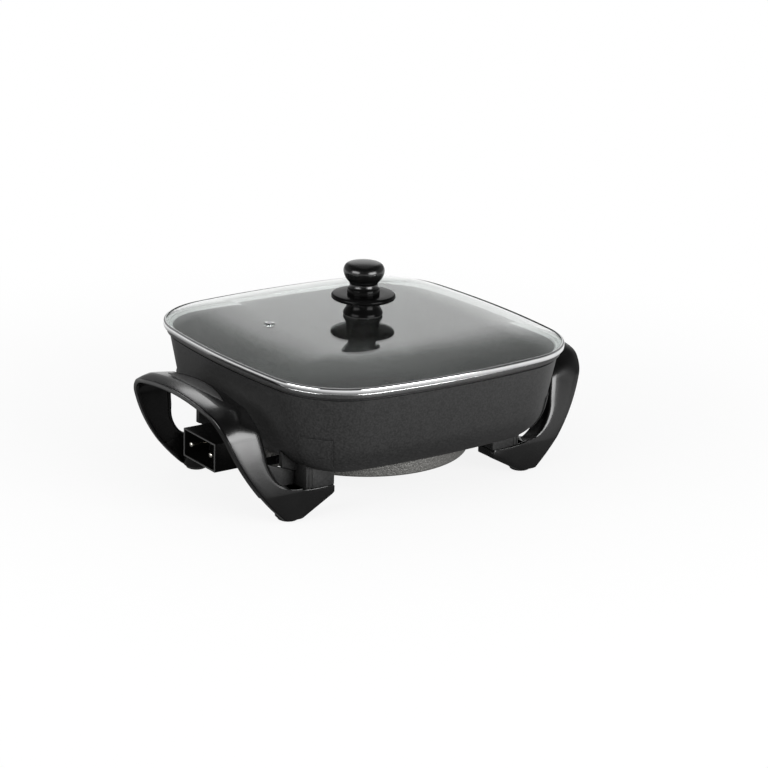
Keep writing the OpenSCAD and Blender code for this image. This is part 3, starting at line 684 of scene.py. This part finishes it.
def pins():
    """Two pins with rounded tips, each in a ceramic bush."""
    for side, name in ((-1, "front"), (1, "rear")):
        middle = (0, side * PIN_Y, INLET_Z)
        tip = [(0, -164.7), (1.3, -164.6), (2.0, -164.1), (PIN_R, -163.2)]
        root = [(PIN_R, -141.7), (PIN_NECK_R, -141.7), (PIN_NECK_R, -131.2), (0, -131.2)]
        pin = spun("pin_" + name, tip + root, 40, "X", middle)
        dress(pin, NICKEL, "base", "terminal_pin_" + name)
        sleeve = [(BUSH_IN, -141.5), (BUSH_R - 0.4, -141.5), (BUSH_R, -141.1), (BUSH_R, -134.2)]
        sleeve += [(BUSH_IN, -134.2), (BUSH_IN, -141.5)]
        bush = spun("bush_" + name, sleeve, 40, "X", middle)
        dress(bush, CERAMIC, "base", "pin_insulator_" + name)


shroud()
pins()


# Handles: arched ribbons with a crowned top, a fine groove along the outer edge and a hollow underside

TOP_C, TOP_R = (0, -183), 290
SHOULDER_C, SHOULDER_R = (48, 72.5), 30
TOP_TURN, LEAN = 79.4, 9.5
TOP_STEPS, SHOULDER_STEPS, LEG_STEPS = 8, 22, 60
# The share of the shoulder's turn after which it starts to take the leg's section
SHOULDER_SHARE = 0.45
LEG_TOP = arc(SHOULDER_C, SHOULDER_R, LEAN, LEAN, 1)[0]
SHELF_Z, SOLE_Z, FOOT_Y = 26.5, 2.5, 86.12
# The grip's two edges and its height, and the outer edge's top and foot with its radius between them
GRIP_IN_X, GRIP_OUT_X, GRIP_Z = 157, 192, 107
EDGE_TOP_Z, EDGE_FOOT_X, EDGE_R = 103, 132.5, 190
# The round bay between a leg and the pan, and how much a leg bulges
BAY_C, BAY_R = (113, 62.5), 36
LEG_BULGE = 3.2
# The middle of each pad, and the handle screw beside it
PAD_X, PAD_Y, SCREW_X = 123.25, 74.12, 98


def edge_x(z):
    """The outer edge of a leg at a height."""
    run, rise = GRIP_OUT_X - EDGE_FOOT_X, EDGE_TOP_Z - SOLE_Z
    chord = math.hypot(run, rise)
    sag = math.sqrt(EDGE_R ** 2 - chord ** 2 / 4)
    x = (GRIP_OUT_X + EDGE_FOOT_X) / 2 - sag * rise / chord
    top = (EDGE_TOP_Z + SOLE_Z) / 2 + sag * run / chord
    return x + math.sqrt(EDGE_R ** 2 - (z - top) ** 2)


def leg_y(z):
    """The outer face of a leg at a height: upright at the foot, then leaning in, more towards the top."""
    share = max(0, (z - SHELF_Z) / (LEG_TOP[1] - SHELF_Z))
    return FOOT_Y - share * (FOOT_Y - LEG_TOP[0]) + max(0, share * (1 - share)) * LEG_BULGE


def inner_x(z):
    """The inner edge of a leg at a height, from the bay up to the grip."""
    low_x, low_z = BAY_C[0] + BAY_R, BAY_C[1]
    return low_x + (z - low_z) * (GRIP_IN_X - low_x) / (GRIP_Z - low_z)


# Where the points of the ribbon's section lie: millimetres from its inner edge (i) or its outer
# edge (o), or a share of its width (w), and their height above its face on the top, the shoulder and the leg
SECTION = [
    ("i", 0, -7, -7, -7), ("i", 0, -4.6, -5.2, -3.2), ("i", 0.4, -3.5, -4.4, -1.9),
    ("i", 1.4, -2.7, -3.7, -0.8), ("i", 3, -2.3, -3.1, -0.25), ("w", 0.2, -1.7, -2.0, 0),
    ("w", 0.33, -1.2, -1.0, 0), ("w", 0.45, -0.7, -0.2, 0), ("w", 0.56, -0.3, 0, 0),
    ("w", 0.66, 0, 0, 0), ("w", 0.68, -0.06, -0.03, 0), ("w", 0.78, -0.95, -0.45, 0),
    ("o", 5, -1.75, -0.9, 0), ("o", 3, -2.55, -1.5, -0.1), ("o", 1.7, -3.1, -1.9, -0.25),
    ("o", 1.5, -3.2, -2.0, -0.3), ("o", 1.35, -4.1, -2.9, -1.1), ("o", 0.85, -4.1, -2.9, -1.1),
    ("o", 0.7, -3.45, -2.2, -0.5), ("o", 0.2, -3.65, -2.5, -0.7), ("o", 0, -4.1, -3.0, -1.2),
    ("o", 0, -7, -7, -7), ("o", 2.6, -7, -7, -7), ("o", 3, -6.2, -6, -5.6),
    ("o", 4.4, -5.6, -5.4, -5), ("w", 0.68, -4.4, -4.6, -4.6), ("w", 0.33, -4.6, -4.8, -4.6),
    ("i", 4.4, -5.4, -5.6, -5), ("i", 3, -6.2, -6.2, -5.6), ("i", 2.6, -7, -7, -7)]


def section(inner, outer, face, blend):
    """One loop of the ribbon between its two edges. face gives the place and the outward turn at a height."""
    width = outer[0] - inner[0]
    loop = []
    for side, where, *heights in SECTION:
        share = {"i": where / width, "o": 1 - where / width, "w": where}[side]
        height = sum(h * b for h, b in zip(heights, blend))
        y, z, turn = face(inner[1] + (outer[1] - inner[1]) * share)
        loop.append((inner[0] + width * share, y + height * math.cos(turn), z + height * math.sin(turn)))
    return loop


def lengthwise(points, steps):
    """Places at equal steps along a line of points."""
    runs = [math.dist(a, b) for a, b in zip(points, points[1:])]
    places, total = [], sum(runs)
    for i in range(steps + 1):
        left = total * i / steps
        for a, b, run in zip(points, points[1:], runs):
            if left <= run or (a, b) == (points[-2], points[-1]):
                places.append((a[0] + (b[0] - a[0]) * left / run, a[1] + (b[1] - a[1]) * left / run))
                break
            left -= run
    return places


def leg_face(z):
    """The outer face of a leg at a height, with its outward turn."""
    return leg_y(z), z, math.radians(LEAN if z > SHELF_Z else 0)


def half_ribbon():
    """Loops from the middle of the top to the sole of one leg."""
    loops = []
    for y, z in arc(TOP_C, TOP_R, 90, TOP_TURN, TOP_STEPS):
        face = (y, z, math.atan2(z - TOP_C[1], y))
        loops.append(section((GRIP_IN_X, 0), (GRIP_OUT_X, 0), lambda _: face, (1, 0, 0)))
    for i in range(1, SHOULDER_STEPS + 1):
        share = i / SHOULDER_STEPS
        turn = math.radians(TOP_TURN + (LEAN - TOP_TURN) * share)
        y, z = SHOULDER_C[0] + SHOULDER_R * math.cos(turn), SHOULDER_C[1] + SHOULDER_R * math.sin(turn)
        face = (y, z, turn)
        leg = ease((share - SHOULDER_SHARE) / (1 - SHOULDER_SHARE))
        shoulder = ease(share / SHOULDER_SHARE) - leg
        inner, outer = inner_x(min(z, GRIP_Z)), edge_x(min(z, EDGE_TOP_Z))
        blend = (1 - shoulder - leg, shoulder, leg)
        loops.append(section((inner, 0), (outer, 0), lambda _: face, blend))
    inside = [(inner_x(LEG_TOP[1]), LEG_TOP[1])] + arc(BAY_C, BAY_R, 0, -90, 24)
    inside += [(84, SHELF_Z), (83, SHELF_Z - 1), (83, 19.5), (114, SOLE_Z)]
    heights = [LEG_TOP[1] + (SOLE_Z - LEG_TOP[1]) * i / 40 for i in range(41)]
    outside = [(edge_x(z), z) for z in heights]
    rows = list(zip(lengthwise(inside, LEG_STEPS), lengthwise(outside, LEG_STEPS)))
    for inner, outer in rows[1:]:
        loops.append(section(inner, outer, leg_face, (0, 0, 1)))
    return loops


# The rib behind a front leg's inner edge: its thickness, its depth and where it runs out.
# It starts inside the ribbon, which is 7 mm thick, and runs out just below it.
RIB_T, RIB_DEPTH, RIB_TOP_Z = 2.6, 17, 77
RIB_ROOT, RIB_END, RIB_RUN_OUT = 6.8, 7.1, 12


def leg_rib():
    """A deep rib along the inner edge of a front leg, from the foot's shelf up to where it runs out."""
    upright = [(inner_x(z), z) for z in (RIB_TOP_Z, 74, 70, 66)]
    inside = upright + arc(BAY_C, BAY_R, 0, -75, 20)
    outside = [(x + RIB_T, z) for x, z in upright] + arc(BAY_C, BAY_R + RIB_T, 0, -75, 20)
    lean = math.radians(LEAN)
    loops = []
    for near, far in zip(inside, outside):
        deep = RIB_END + (RIB_DEPTH - RIB_END) * ease((RIB_TOP_Z - near[1]) / RIB_RUN_OUT)
        corners = ((near, RIB_ROOT), (near, deep), (far, deep), (far, RIB_ROOT))
        loops.append([(x, d * math.cos(lean) - leg_y(z), z - d * math.sin(lean)) for (x, z), d in corners])
    return drawn_out("rib", loops)


# The foot under each leg: a wedge with a well for the handle's screw, a boss over the pad and an upright web
WEDGE = [(83.5, 26.4), (123, 26.4), (123, 2.6), (114, 2.6), (83.5, 19.4)]
WEDGE_Y = (82, 63.5)
BOSS = [(0, 26.4), (10.4, 26.4), (11, 25.8), (11, 3.1), (10.4, 2.5), (9.2, 2.5), (9.2, 4.1), (0, 4.1)]
WELL_R, WELL_TOP_Z = 5, 19.5
WEB_Y = (66.1, 63.2)
FRONT_WEB_TIP, REAR_WEB_TIP = (139.8, 48.2), (134, 38)
WEB_ZONE_X, WEB_ZONE_Y = (112, 140), (63, 66.3)


def is_web(face):
    """Whether a face of a handle is on one of the webs, above the shelf."""
    x, y, z = face.center / MM
    across = WEB_ZONE_X[0] < abs(x) < WEB_ZONE_X[1]
    along = WEB_ZONE_Y[0] < abs(y) < WEB_ZONE_Y[1]
    return across and along and z > SHELF_Z


def handles():
    """One handle with its two feet, and its mirror image. The webs are as matt as the pan's coat."""
    half = half_ribbon()
    loops = [[(x, -y, z) for x, y, z in loop] for loop in reversed(half[1:])] + half
    ribbon = drawn_out("arch_right", loops)
    for side in (-1, 1):
        shelf = drawn_out("shelf", [[(x, side * y, z) for x, z in WEDGE] for y in WEDGE_Y])
        rounded(shelf, 0.8)
        boss = spun("boss", BOSS, 64, centre=(PAD_X, side * PAD_Y, 0))
        cut(shelf, rod("well", WELL_R, 0, WELL_TOP_Z, (SCREW_X, side * PAD_Y, 0), 48))
        tip = FRONT_WEB_TIP if side < 0 else REAR_WEB_TIP
        plate = [(112.1, 20), (112.1, 38), tip, (123.5, 20)]
        web = drawn_out("web", [[(x, side * y, z) for x, z in plate] for y in WEB_Y])
        rounded(web, 0.7)
        ribbon = joined(ribbon, shelf, boss, web)
    ribbon = joined(ribbon, leg_rib())
    left = copied(ribbon, "arch_left", flip=(-1, 1, 1))
    dress(ribbon, PHENOLIC, "base", "handle_right")
    dress(left, PHENOLIC, "base", "handle_left")
    for handle in (ribbon, left):
        handle.data.materials.append(COAT)
        for face in handle.data.polygons:
            if is_web(face):
                face.material_index = 1
    return [ribbon, left]


TOPS = handles()


# Grip inlays: lens-shaped plates let into the top of each handle

INLAY_HALF_L, INLAY_HALF_W, INLAY_X = 44.8, 7.8, 170
INLAY_R = (INLAY_HALF_L ** 2 + INLAY_HALF_W ** 2) / (2 * INLAY_HALF_W)
INLAY_TURN = math.degrees(math.asin(INLAY_HALF_L / INLAY_R))
# The ribbon's top falls away inwards from its crest, by this much for each millimetre
CREST_X, FALL = 181, 0.06
# Each loop of the plate from its underside up: its share of the outline, and its height over the top
INLAY_LOOPS = [(0.25, -1.6), (0.6, -1.6), (1, -1.6), (1, -0.35), (0.985, -0.05), (0.93, 0.1), (0.6, 0.22),
    (0.25, 0.24)]


def lens(scale, lift):
    """The inlay's outline at a scale, laid on the handle's crowned top and lifted."""
    points = arc((INLAY_R - INLAY_HALF_W, 0), INLAY_R, 180 - INLAY_TURN, 180 + INLAY_TURN, 40)[:-1]
    points += arc((INLAY_HALF_W - INLAY_R, 0), INLAY_R, -INLAY_TURN, INLAY_TURN, 40)[:-1]
    loop = []
    for x, y in points:
        x, y = x * scale, y * scale
        crown = TOP_C[1] + math.sqrt(TOP_R ** 2 - y * y)
        slope = (x + INLAY_X - CREST_X) * FALL
        loop.append((INLAY_X + x, y, crown + min(slope, 0) + lift))
    return loop


def inlays():
    plate = drawn_out("grip_right", [lens(scale, lift) for scale, lift in INLAY_LOOPS])
    left = copied(plate, "grip_left", flip=(-1, 1, 1))
    dress(plate, GRIP, "base", "grip_inlay_right")
    dress(left, GRIP, "base", "grip_inlay_left")
    return [plate, left]


TOPS += inlays()


# Rubber pads under the four feet

PAD = [(0, 4), (8.6, 4), (9, 3.6), (9, 1.2), (8.7, 0.4), (8, 0), (4.6, 0), (4.2, 0.5), (0, 0.5)]
PAD_SIDES = {"front_right": (1, -1), "rear_right": (1, 1), "front_left": (-1, -1), "rear_left": (-1, 1)}


def pads():
    """One pad, copied to each foot."""
    first = spun("pad", PAD, 64)
    for name, (x, y) in PAD_SIDES.items():
        pad = copied(first, "rubber_" + name, move=(x * PAD_X, y * PAD_Y, 0))
        dress(pad, RUBBER, "base", "foot_pad_" + name)
    bpy.data.objects.remove(first)


pads()


# Lid

GLASS_Z, GLASS_T, GLASS_U, DOME_R = 142, 3, 70.2, 181.8
DOME_U = [2, 8, 16, 24, 32, 40, 48, 54, 60, 65, 68, 69.6]
VENT_PLACE = (-87, 15, 0)


def dome_z(u):
    """The top of the glass at a distance u."""
    return GLASS_Z - DOME_R + math.sqrt(DOME_R ** 2 - u * u)


def lid_glass():
    """The domed glass with a ground edge, and its holes for the knob's screw and the vent."""
    top = [(u, dome_z(u)) for u in DOME_U]
    top += [(70.05, dome_z(70.05) - 0.4), (GLASS_U, dome_z(GLASS_U) - 1.1)]
    low = [(GLASS_U, dome_z(GLASS_U) - 2.1), (69.9, dome_z(69.9) - 2.7)]
    low += [(u, dome_z(u) - GLASS_T) for u in reversed(DOME_U)]
    plate = drawn_out("lid_glass_plate", around(top + low))
    hole = rod("hole", 3.2, 120, 160, (0, 0, 0), 32)
    vent = rod("vent", 2.7, 120, 160, VENT_PLACE, 32)
    cut(plate, hole, vent)
    dress(plate, GLASS, "lid", "lid_glass")


def lid_rim():
    """A folded steel band round the edge of the glass, with a flange under it."""
    low = [(65, 124.5), (65, 124.2), (65.2, 124), (70.4, 124), (70.8, 124.15), (71, 124.6)]
    top = [(71, 127.6), (70.92, 128.1), (70.7, 128.5), (70.2, 128.85), (69.6, 129.08), (69.2, 129.2)]
    under = [(69, 129.1), (69, 128.9), (69.2, 128.75), (70.35, 128.2), (70.4, 127.9), (70.4, 124.9)]
    under += [(70.2, 124.7), (65.2, 124.7), (65, 124.5)]
    band = drawn_out("lid_rim_band", around(low + top + under), ends=False)
    dress(band, STAINLESS, "lid", "lid_rim", smooth=50)


def vent_eyelet():
    """A tube through the glass with a flange on each side."""
    low = [(1.5, 137.6), (4.2, 137.6), (4.5, 137.8), (4.5, 138.2), (2.5, 138.3), (2.5, 142.05)]
    top = [(4.4, 142.05), (4.5, 142.3), (4.2, 142.75), (3.4, 143), (2.2, 143), (1.6, 142.6), (1.5, 142)]
    eyelet = spun("eyelet", low + top + [(1.5, 137.6)], 48, centre=VENT_PLACE)
    dress(eyelet, STAINLESS, "lid", "vent_eyelet")


# The knob's three turned pieces, as [radius, height] from the bore or the middle outwards
KNOB_BASE = [(0, 172.9), (5.2, 172.9), (5.2, 160.95), (14, 160.95), (14.2, 161.1), (14.2, 165.5),
    (14.12, 165.7), (13.5, 166.3)]
KNOB_NECK = [(13.05, 166.9), (12.75, 167.4), (12.57, 168), (12.42, 168.7), (12.32, 169.4), (12.3, 169.8),
    (12.5, 170.6), (13.1, 171.5), (14, 172.5), (15.1, 173.7)]
KNOB_BALL = [(16, 175), (16.65, 176.4), (17.25, 177.9), (17.75, 179.4), (18.02, 180.8), (18.02, 182),
    (17.8, 183.2), (17.3, 184.6)]
KNOB_CROWN = [(16.5, 185.9), (15.5, 186.9), (14.2, 187.6), (12, 188.2), (9, 188.8), (5, 189.17),
    (2, 189.28), (0, 189.3)]
COLLAR_TOP_Z = 166.5
BORE = 3.2
SKIRT_R, SKIRT_EDGE, SKIRT_LOW_Z, SKIRT_TOP_Z = 28.3, 2.3, 156.3, 160.9
BELL = [(17.1, 142.8), (17.45, 143.2), (17.3, 144.2), (16.7, 145.6), (15.8, 147.2), (14.9, 148.9),
    (14.3, 150.6), (14.1, 152.4), (14.1, 156.25)]


def knob():
    """The knob's head, its collar in the duller grade, the skirt that guards the fingers, and the stem."""
    head = spun("knob_head", KNOB_BASE + KNOB_NECK + KNOB_BALL + KNOB_CROWN, 96)
    dress(head, PHENOLIC, "lid", "knob")
    head.data.materials.append(MOULDED)
    for face in head.data.polygons:
        if face.center.z < COLLAR_TOP_Z * MM:
            face.material_index = 1
    low = [(BORE, SKIRT_LOW_Z), (14.6, SKIRT_LOW_Z), (20, SKIRT_LOW_Z)]
    edge = arc((SKIRT_R - SKIRT_EDGE, SKIRT_LOW_Z + SKIRT_EDGE), SKIRT_EDGE, -80, 80, 12)
    top = [(18, SKIRT_TOP_Z), (14.4, SKIRT_TOP_Z), (BORE, SKIRT_TOP_Z), (BORE, SKIRT_LOW_Z)]
    guard = spun("knob_skirt", low + edge + top, 128)
    dress(guard, MOULDED, "lid", "knob_guard")
    foot = spun("knob_stem", [(BORE, 142.8)] + BELL + [(BORE, 156.25), (BORE, 142.8)], 96)
    dress(foot, MOULDED, "lid", "knob_foot")


lid_glass()
lid_rim()
vent_eyelet()
knob()


# Solids that keep their own shape, with their finishes

FINISHES = {"probe_tube": ZINC, "inlet_bracket": PHOSPHATE, "bracket_screws": PHOSPHATE,
    "shroud_screws": ZINC, "handle_screws_left": ZINC, "handle_screws_right": ZINC, "knob_gasket": RUBBER,
    "knob_washer": STAINLESS, "knob_screw": STAINLESS, "knob_insert": BRASS}
for node, material in FINISHES.items():
    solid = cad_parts[node]
    solid.data.materials.clear()
    solid.data.materials.append(material)


# Floor, world and lamps, in metres

FLOOR_SIZE, FLOOR_DROP = 12, 0.0002
# The middle of the painted shadow on the floor that the gloss of the object sees, a dark patch for the shade
# under and beside the object
PAINTED_SHADOW_MIDDLE = (-0.1, 0.03, 0.0)


def floor():
    """A white floor under the object."""
    deselect()
    bpy.ops.mesh.primitive_plane_add(size=FLOOR_SIZE, location=(0, 0, -FLOOR_DROP))
    sheet = bpy.context.object
    sheet.name = "floor"
    # Matt white paper: lit by the lamps near the object, where it holds the shadow, and plain white
    # further off. The object's gloss sees a painted shadow on it: its glow is dimmed near the object,
    # in place of the shade that falls there.
    material, tree, place = fresh("pale_paper_sweep")
    fibre = add(tree, "ShaderNodeTexNoise", {"Vector": place, "Scale": 60.0, "Detail": 3.0})
    colour = add(tree, "ShaderNodeMix", {SHARE: fibre.outputs["Fac"], FIRST: linear("#f2f2f2"),
        SECOND: linear("#f8f8f8")}, data_type="RGBA")
    paper = add(tree, "ShaderNodeBsdfDiffuse", {"Color": colour.outputs[MIXED]})
    away = add(tree, "ShaderNodeVectorMath", {0: place}, operation="LENGTH")
    plain = add(tree, "ShaderNodeMapRange", {"Value": away.outputs["Value"], "From Min": 0.15,
        "From Max": 0.75, "To Min": 0.86, "To Max": 1.0}, interpolation_type="SMOOTHSTEP")
    aside = add(tree, "ShaderNodeVectorMath", {0: place, 1: PAINTED_SHADOW_MIDDLE}, operation="DISTANCE")
    # Painted shadow: the glow that glossy rays see falls to 0.08 within 0.22 m of the patch's middle
    painted_shadow_in_gloss = add(tree, "ShaderNodeMapRange", {"Value": aside.outputs["Value"], "From Min": 0.22,
        "From Max": 0.6, "To Min": 0.08, "To Max": 1.0}, interpolation_type="SMOOTHSTEP")
    path = add(tree, "ShaderNodeLightPath", {})
    direct = add(tree, "ShaderNodeMath", {0: path.outputs["Is Camera Ray"],
        1: path.outputs["Is Transmission Ray"]}, operation="MAXIMUM")
    strength = add(tree, "ShaderNodeMath", {0: direct.outputs[0], 1: painted_shadow_in_gloss.outputs[0]},
        operation="MAXIMUM")
    shown = add(tree, "ShaderNodeMath", {0: direct.outputs[0], 1: path.outputs["Is Glossy Ray"]},
        operation="MAXIMUM")
    seen = add(tree, "ShaderNodeMath", {0: shown.outputs[0], 1: plain.outputs[0]}, operation="MULTIPLY")
    glow = add(tree, "ShaderNodeEmission", {"Color": linear("#ffffff"), "Strength": strength.outputs[0]})
    mix = add(tree, "ShaderNodeMixShader", {0: seen.outputs[0], 1: paper.outputs[0], 2: glow.outputs[0]})
    add(tree, "ShaderNodeOutputMaterial", {"Surface": mix.outputs[0]})
    sheet.data.materials.append(material)


# The way from the object to the front of the room, and the way across the backdrop panel behind it
FRONT_WAY = (-0.58, -0.82, 0.0)
ACROSS_WAY = (0.809, -0.588, 0.0)
ROOM_LIGHT = 0.45


def room():
    # A white backdrop panel behind, grey beside it, and dark above and on the side of the lamps,
    # as in a studio. Seen directly or through the glass, the room is plain white.
    world = bpy.data.worlds.new("white_room")
    bpy.context.scene.world = world
    world.use_nodes = True
    tree = world.node_tree
    tree.nodes.clear()
    path = add(tree, "ShaderNodeLightPath", {})
    way = add(tree, "ShaderNodeTexCoord", {}).outputs["Generated"]
    front = add(tree, "ShaderNodeVectorMath", {0: way, 1: FRONT_WAY}, operation="DOT_PRODUCT")
    height = add(tree, "ShaderNodeSeparateXYZ", {0: way})
    behind = add(tree, "ShaderNodeMapRange", {"Value": front.outputs["Value"], "From Min": -0.2,
        "From Max": 0.3, "To Min": 1.0, "To Max": 0.1}, interpolation_type="SMOOTHSTEP")
    low = add(tree, "ShaderNodeMapRange", {"Value": height.outputs["Z"], "From Min": 0.4,
        "From Max": 0.62, "To Min": 1.0, "To Max": 0.3}, interpolation_type="SMOOTHSTEP")
    sideways = add(tree, "ShaderNodeVectorMath", {0: way, 1: ACROSS_WAY}, operation="DOT_PRODUCT")
    offset = add(tree, "ShaderNodeMath", {0: sideways.outputs["Value"]}, operation="ABSOLUTE")
    panel = add(tree, "ShaderNodeMapRange", {"Value": offset.outputs[0], "From Min": 0.13,
        "From Max": 0.27, "To Min": 1.0, "To Max": 0.3}, interpolation_type="SMOOTHSTEP")
    wall = add(tree, "ShaderNodeMath", {0: behind.outputs[0], 1: low.outputs[0]}, operation="MULTIPLY")
    shine = add(tree, "ShaderNodeMath", {0: wall.outputs[0], 1: panel.outputs[0]}, operation="MULTIPLY")
    mirror = add(tree, "ShaderNodeBackground", {"Color": linear("#ffffff"), "Strength": shine.outputs[0]})
    light = add(tree, "ShaderNodeBackground", {"Color": linear("#ffffff"), "Strength": ROOM_LIGHT})
    white = add(tree, "ShaderNodeBackground", {"Color": linear("#ffffff"), "Strength": 1.0})
    gloss = add(tree, "ShaderNodeMixShader", {0: path.outputs["Is Glossy Ray"], 1: light.outputs[0],
        2: mirror.outputs[0]})
    clear = add(tree, "ShaderNodeMath", {0: path.outputs["Is Camera Ray"],
        1: path.outputs["Is Transmission Ray"]}, operation="MAXIMUM")
    mix = add(tree, "ShaderNodeMixShader", {0: clear.outputs[0], 1: gloss.outputs[0], 2: white.outputs[0]})
    add(tree, "ShaderNodeOutputWorld", {"Surface": mix.outputs[0]})


# Each lamp's name, shape, place, width, height and power in watts
LAMPS = [
    ("softbox_left", "RECTANGLE", (-1.51, -0.21, 0.57), 1.15, 0.62, 18),
    ("softbox_front", "RECTANGLE", (0.38, -1.5, 0.4), 1.1, 0.7, 26.5),
    ("softbox_back", "ELLIPSE", (0.18, 1.03, 1.13), 0.6, 0.5, 3.4)]
LAMP_AIM = (0, 0, 0.08)


def lamps():
    """Two large softboxes in front, and a small one behind."""
    for name, shape, place, width, height, power in LAMPS:
        lamp = bpy.data.lights.new(name, "AREA")
        lamp.shape = shape
        lamp.size, lamp.size_y, lamp.energy = width, height, power
        holder = bpy.data.objects.new(name, lamp)
        holder.location = place
        holder.rotation_euler = (Vector(LAMP_AIM) - Vector(place)).to_track_quat("-Z", "Y").to_euler()
        bpy.context.scene.collection.objects.link(holder)
    # The small one is for the handles' sloping edges, and the lid doesn't mirror it
    edges = bpy.data.collections.new("lit_from_behind")
    for piece in TOPS:
        edges.objects.link(piece)
    bpy.data.objects["softbox_back"].light_linking.receiver_collection = edges


floor()
room()
lamps()
bpy.context.scene.view_settings.view_transform = "Standard"
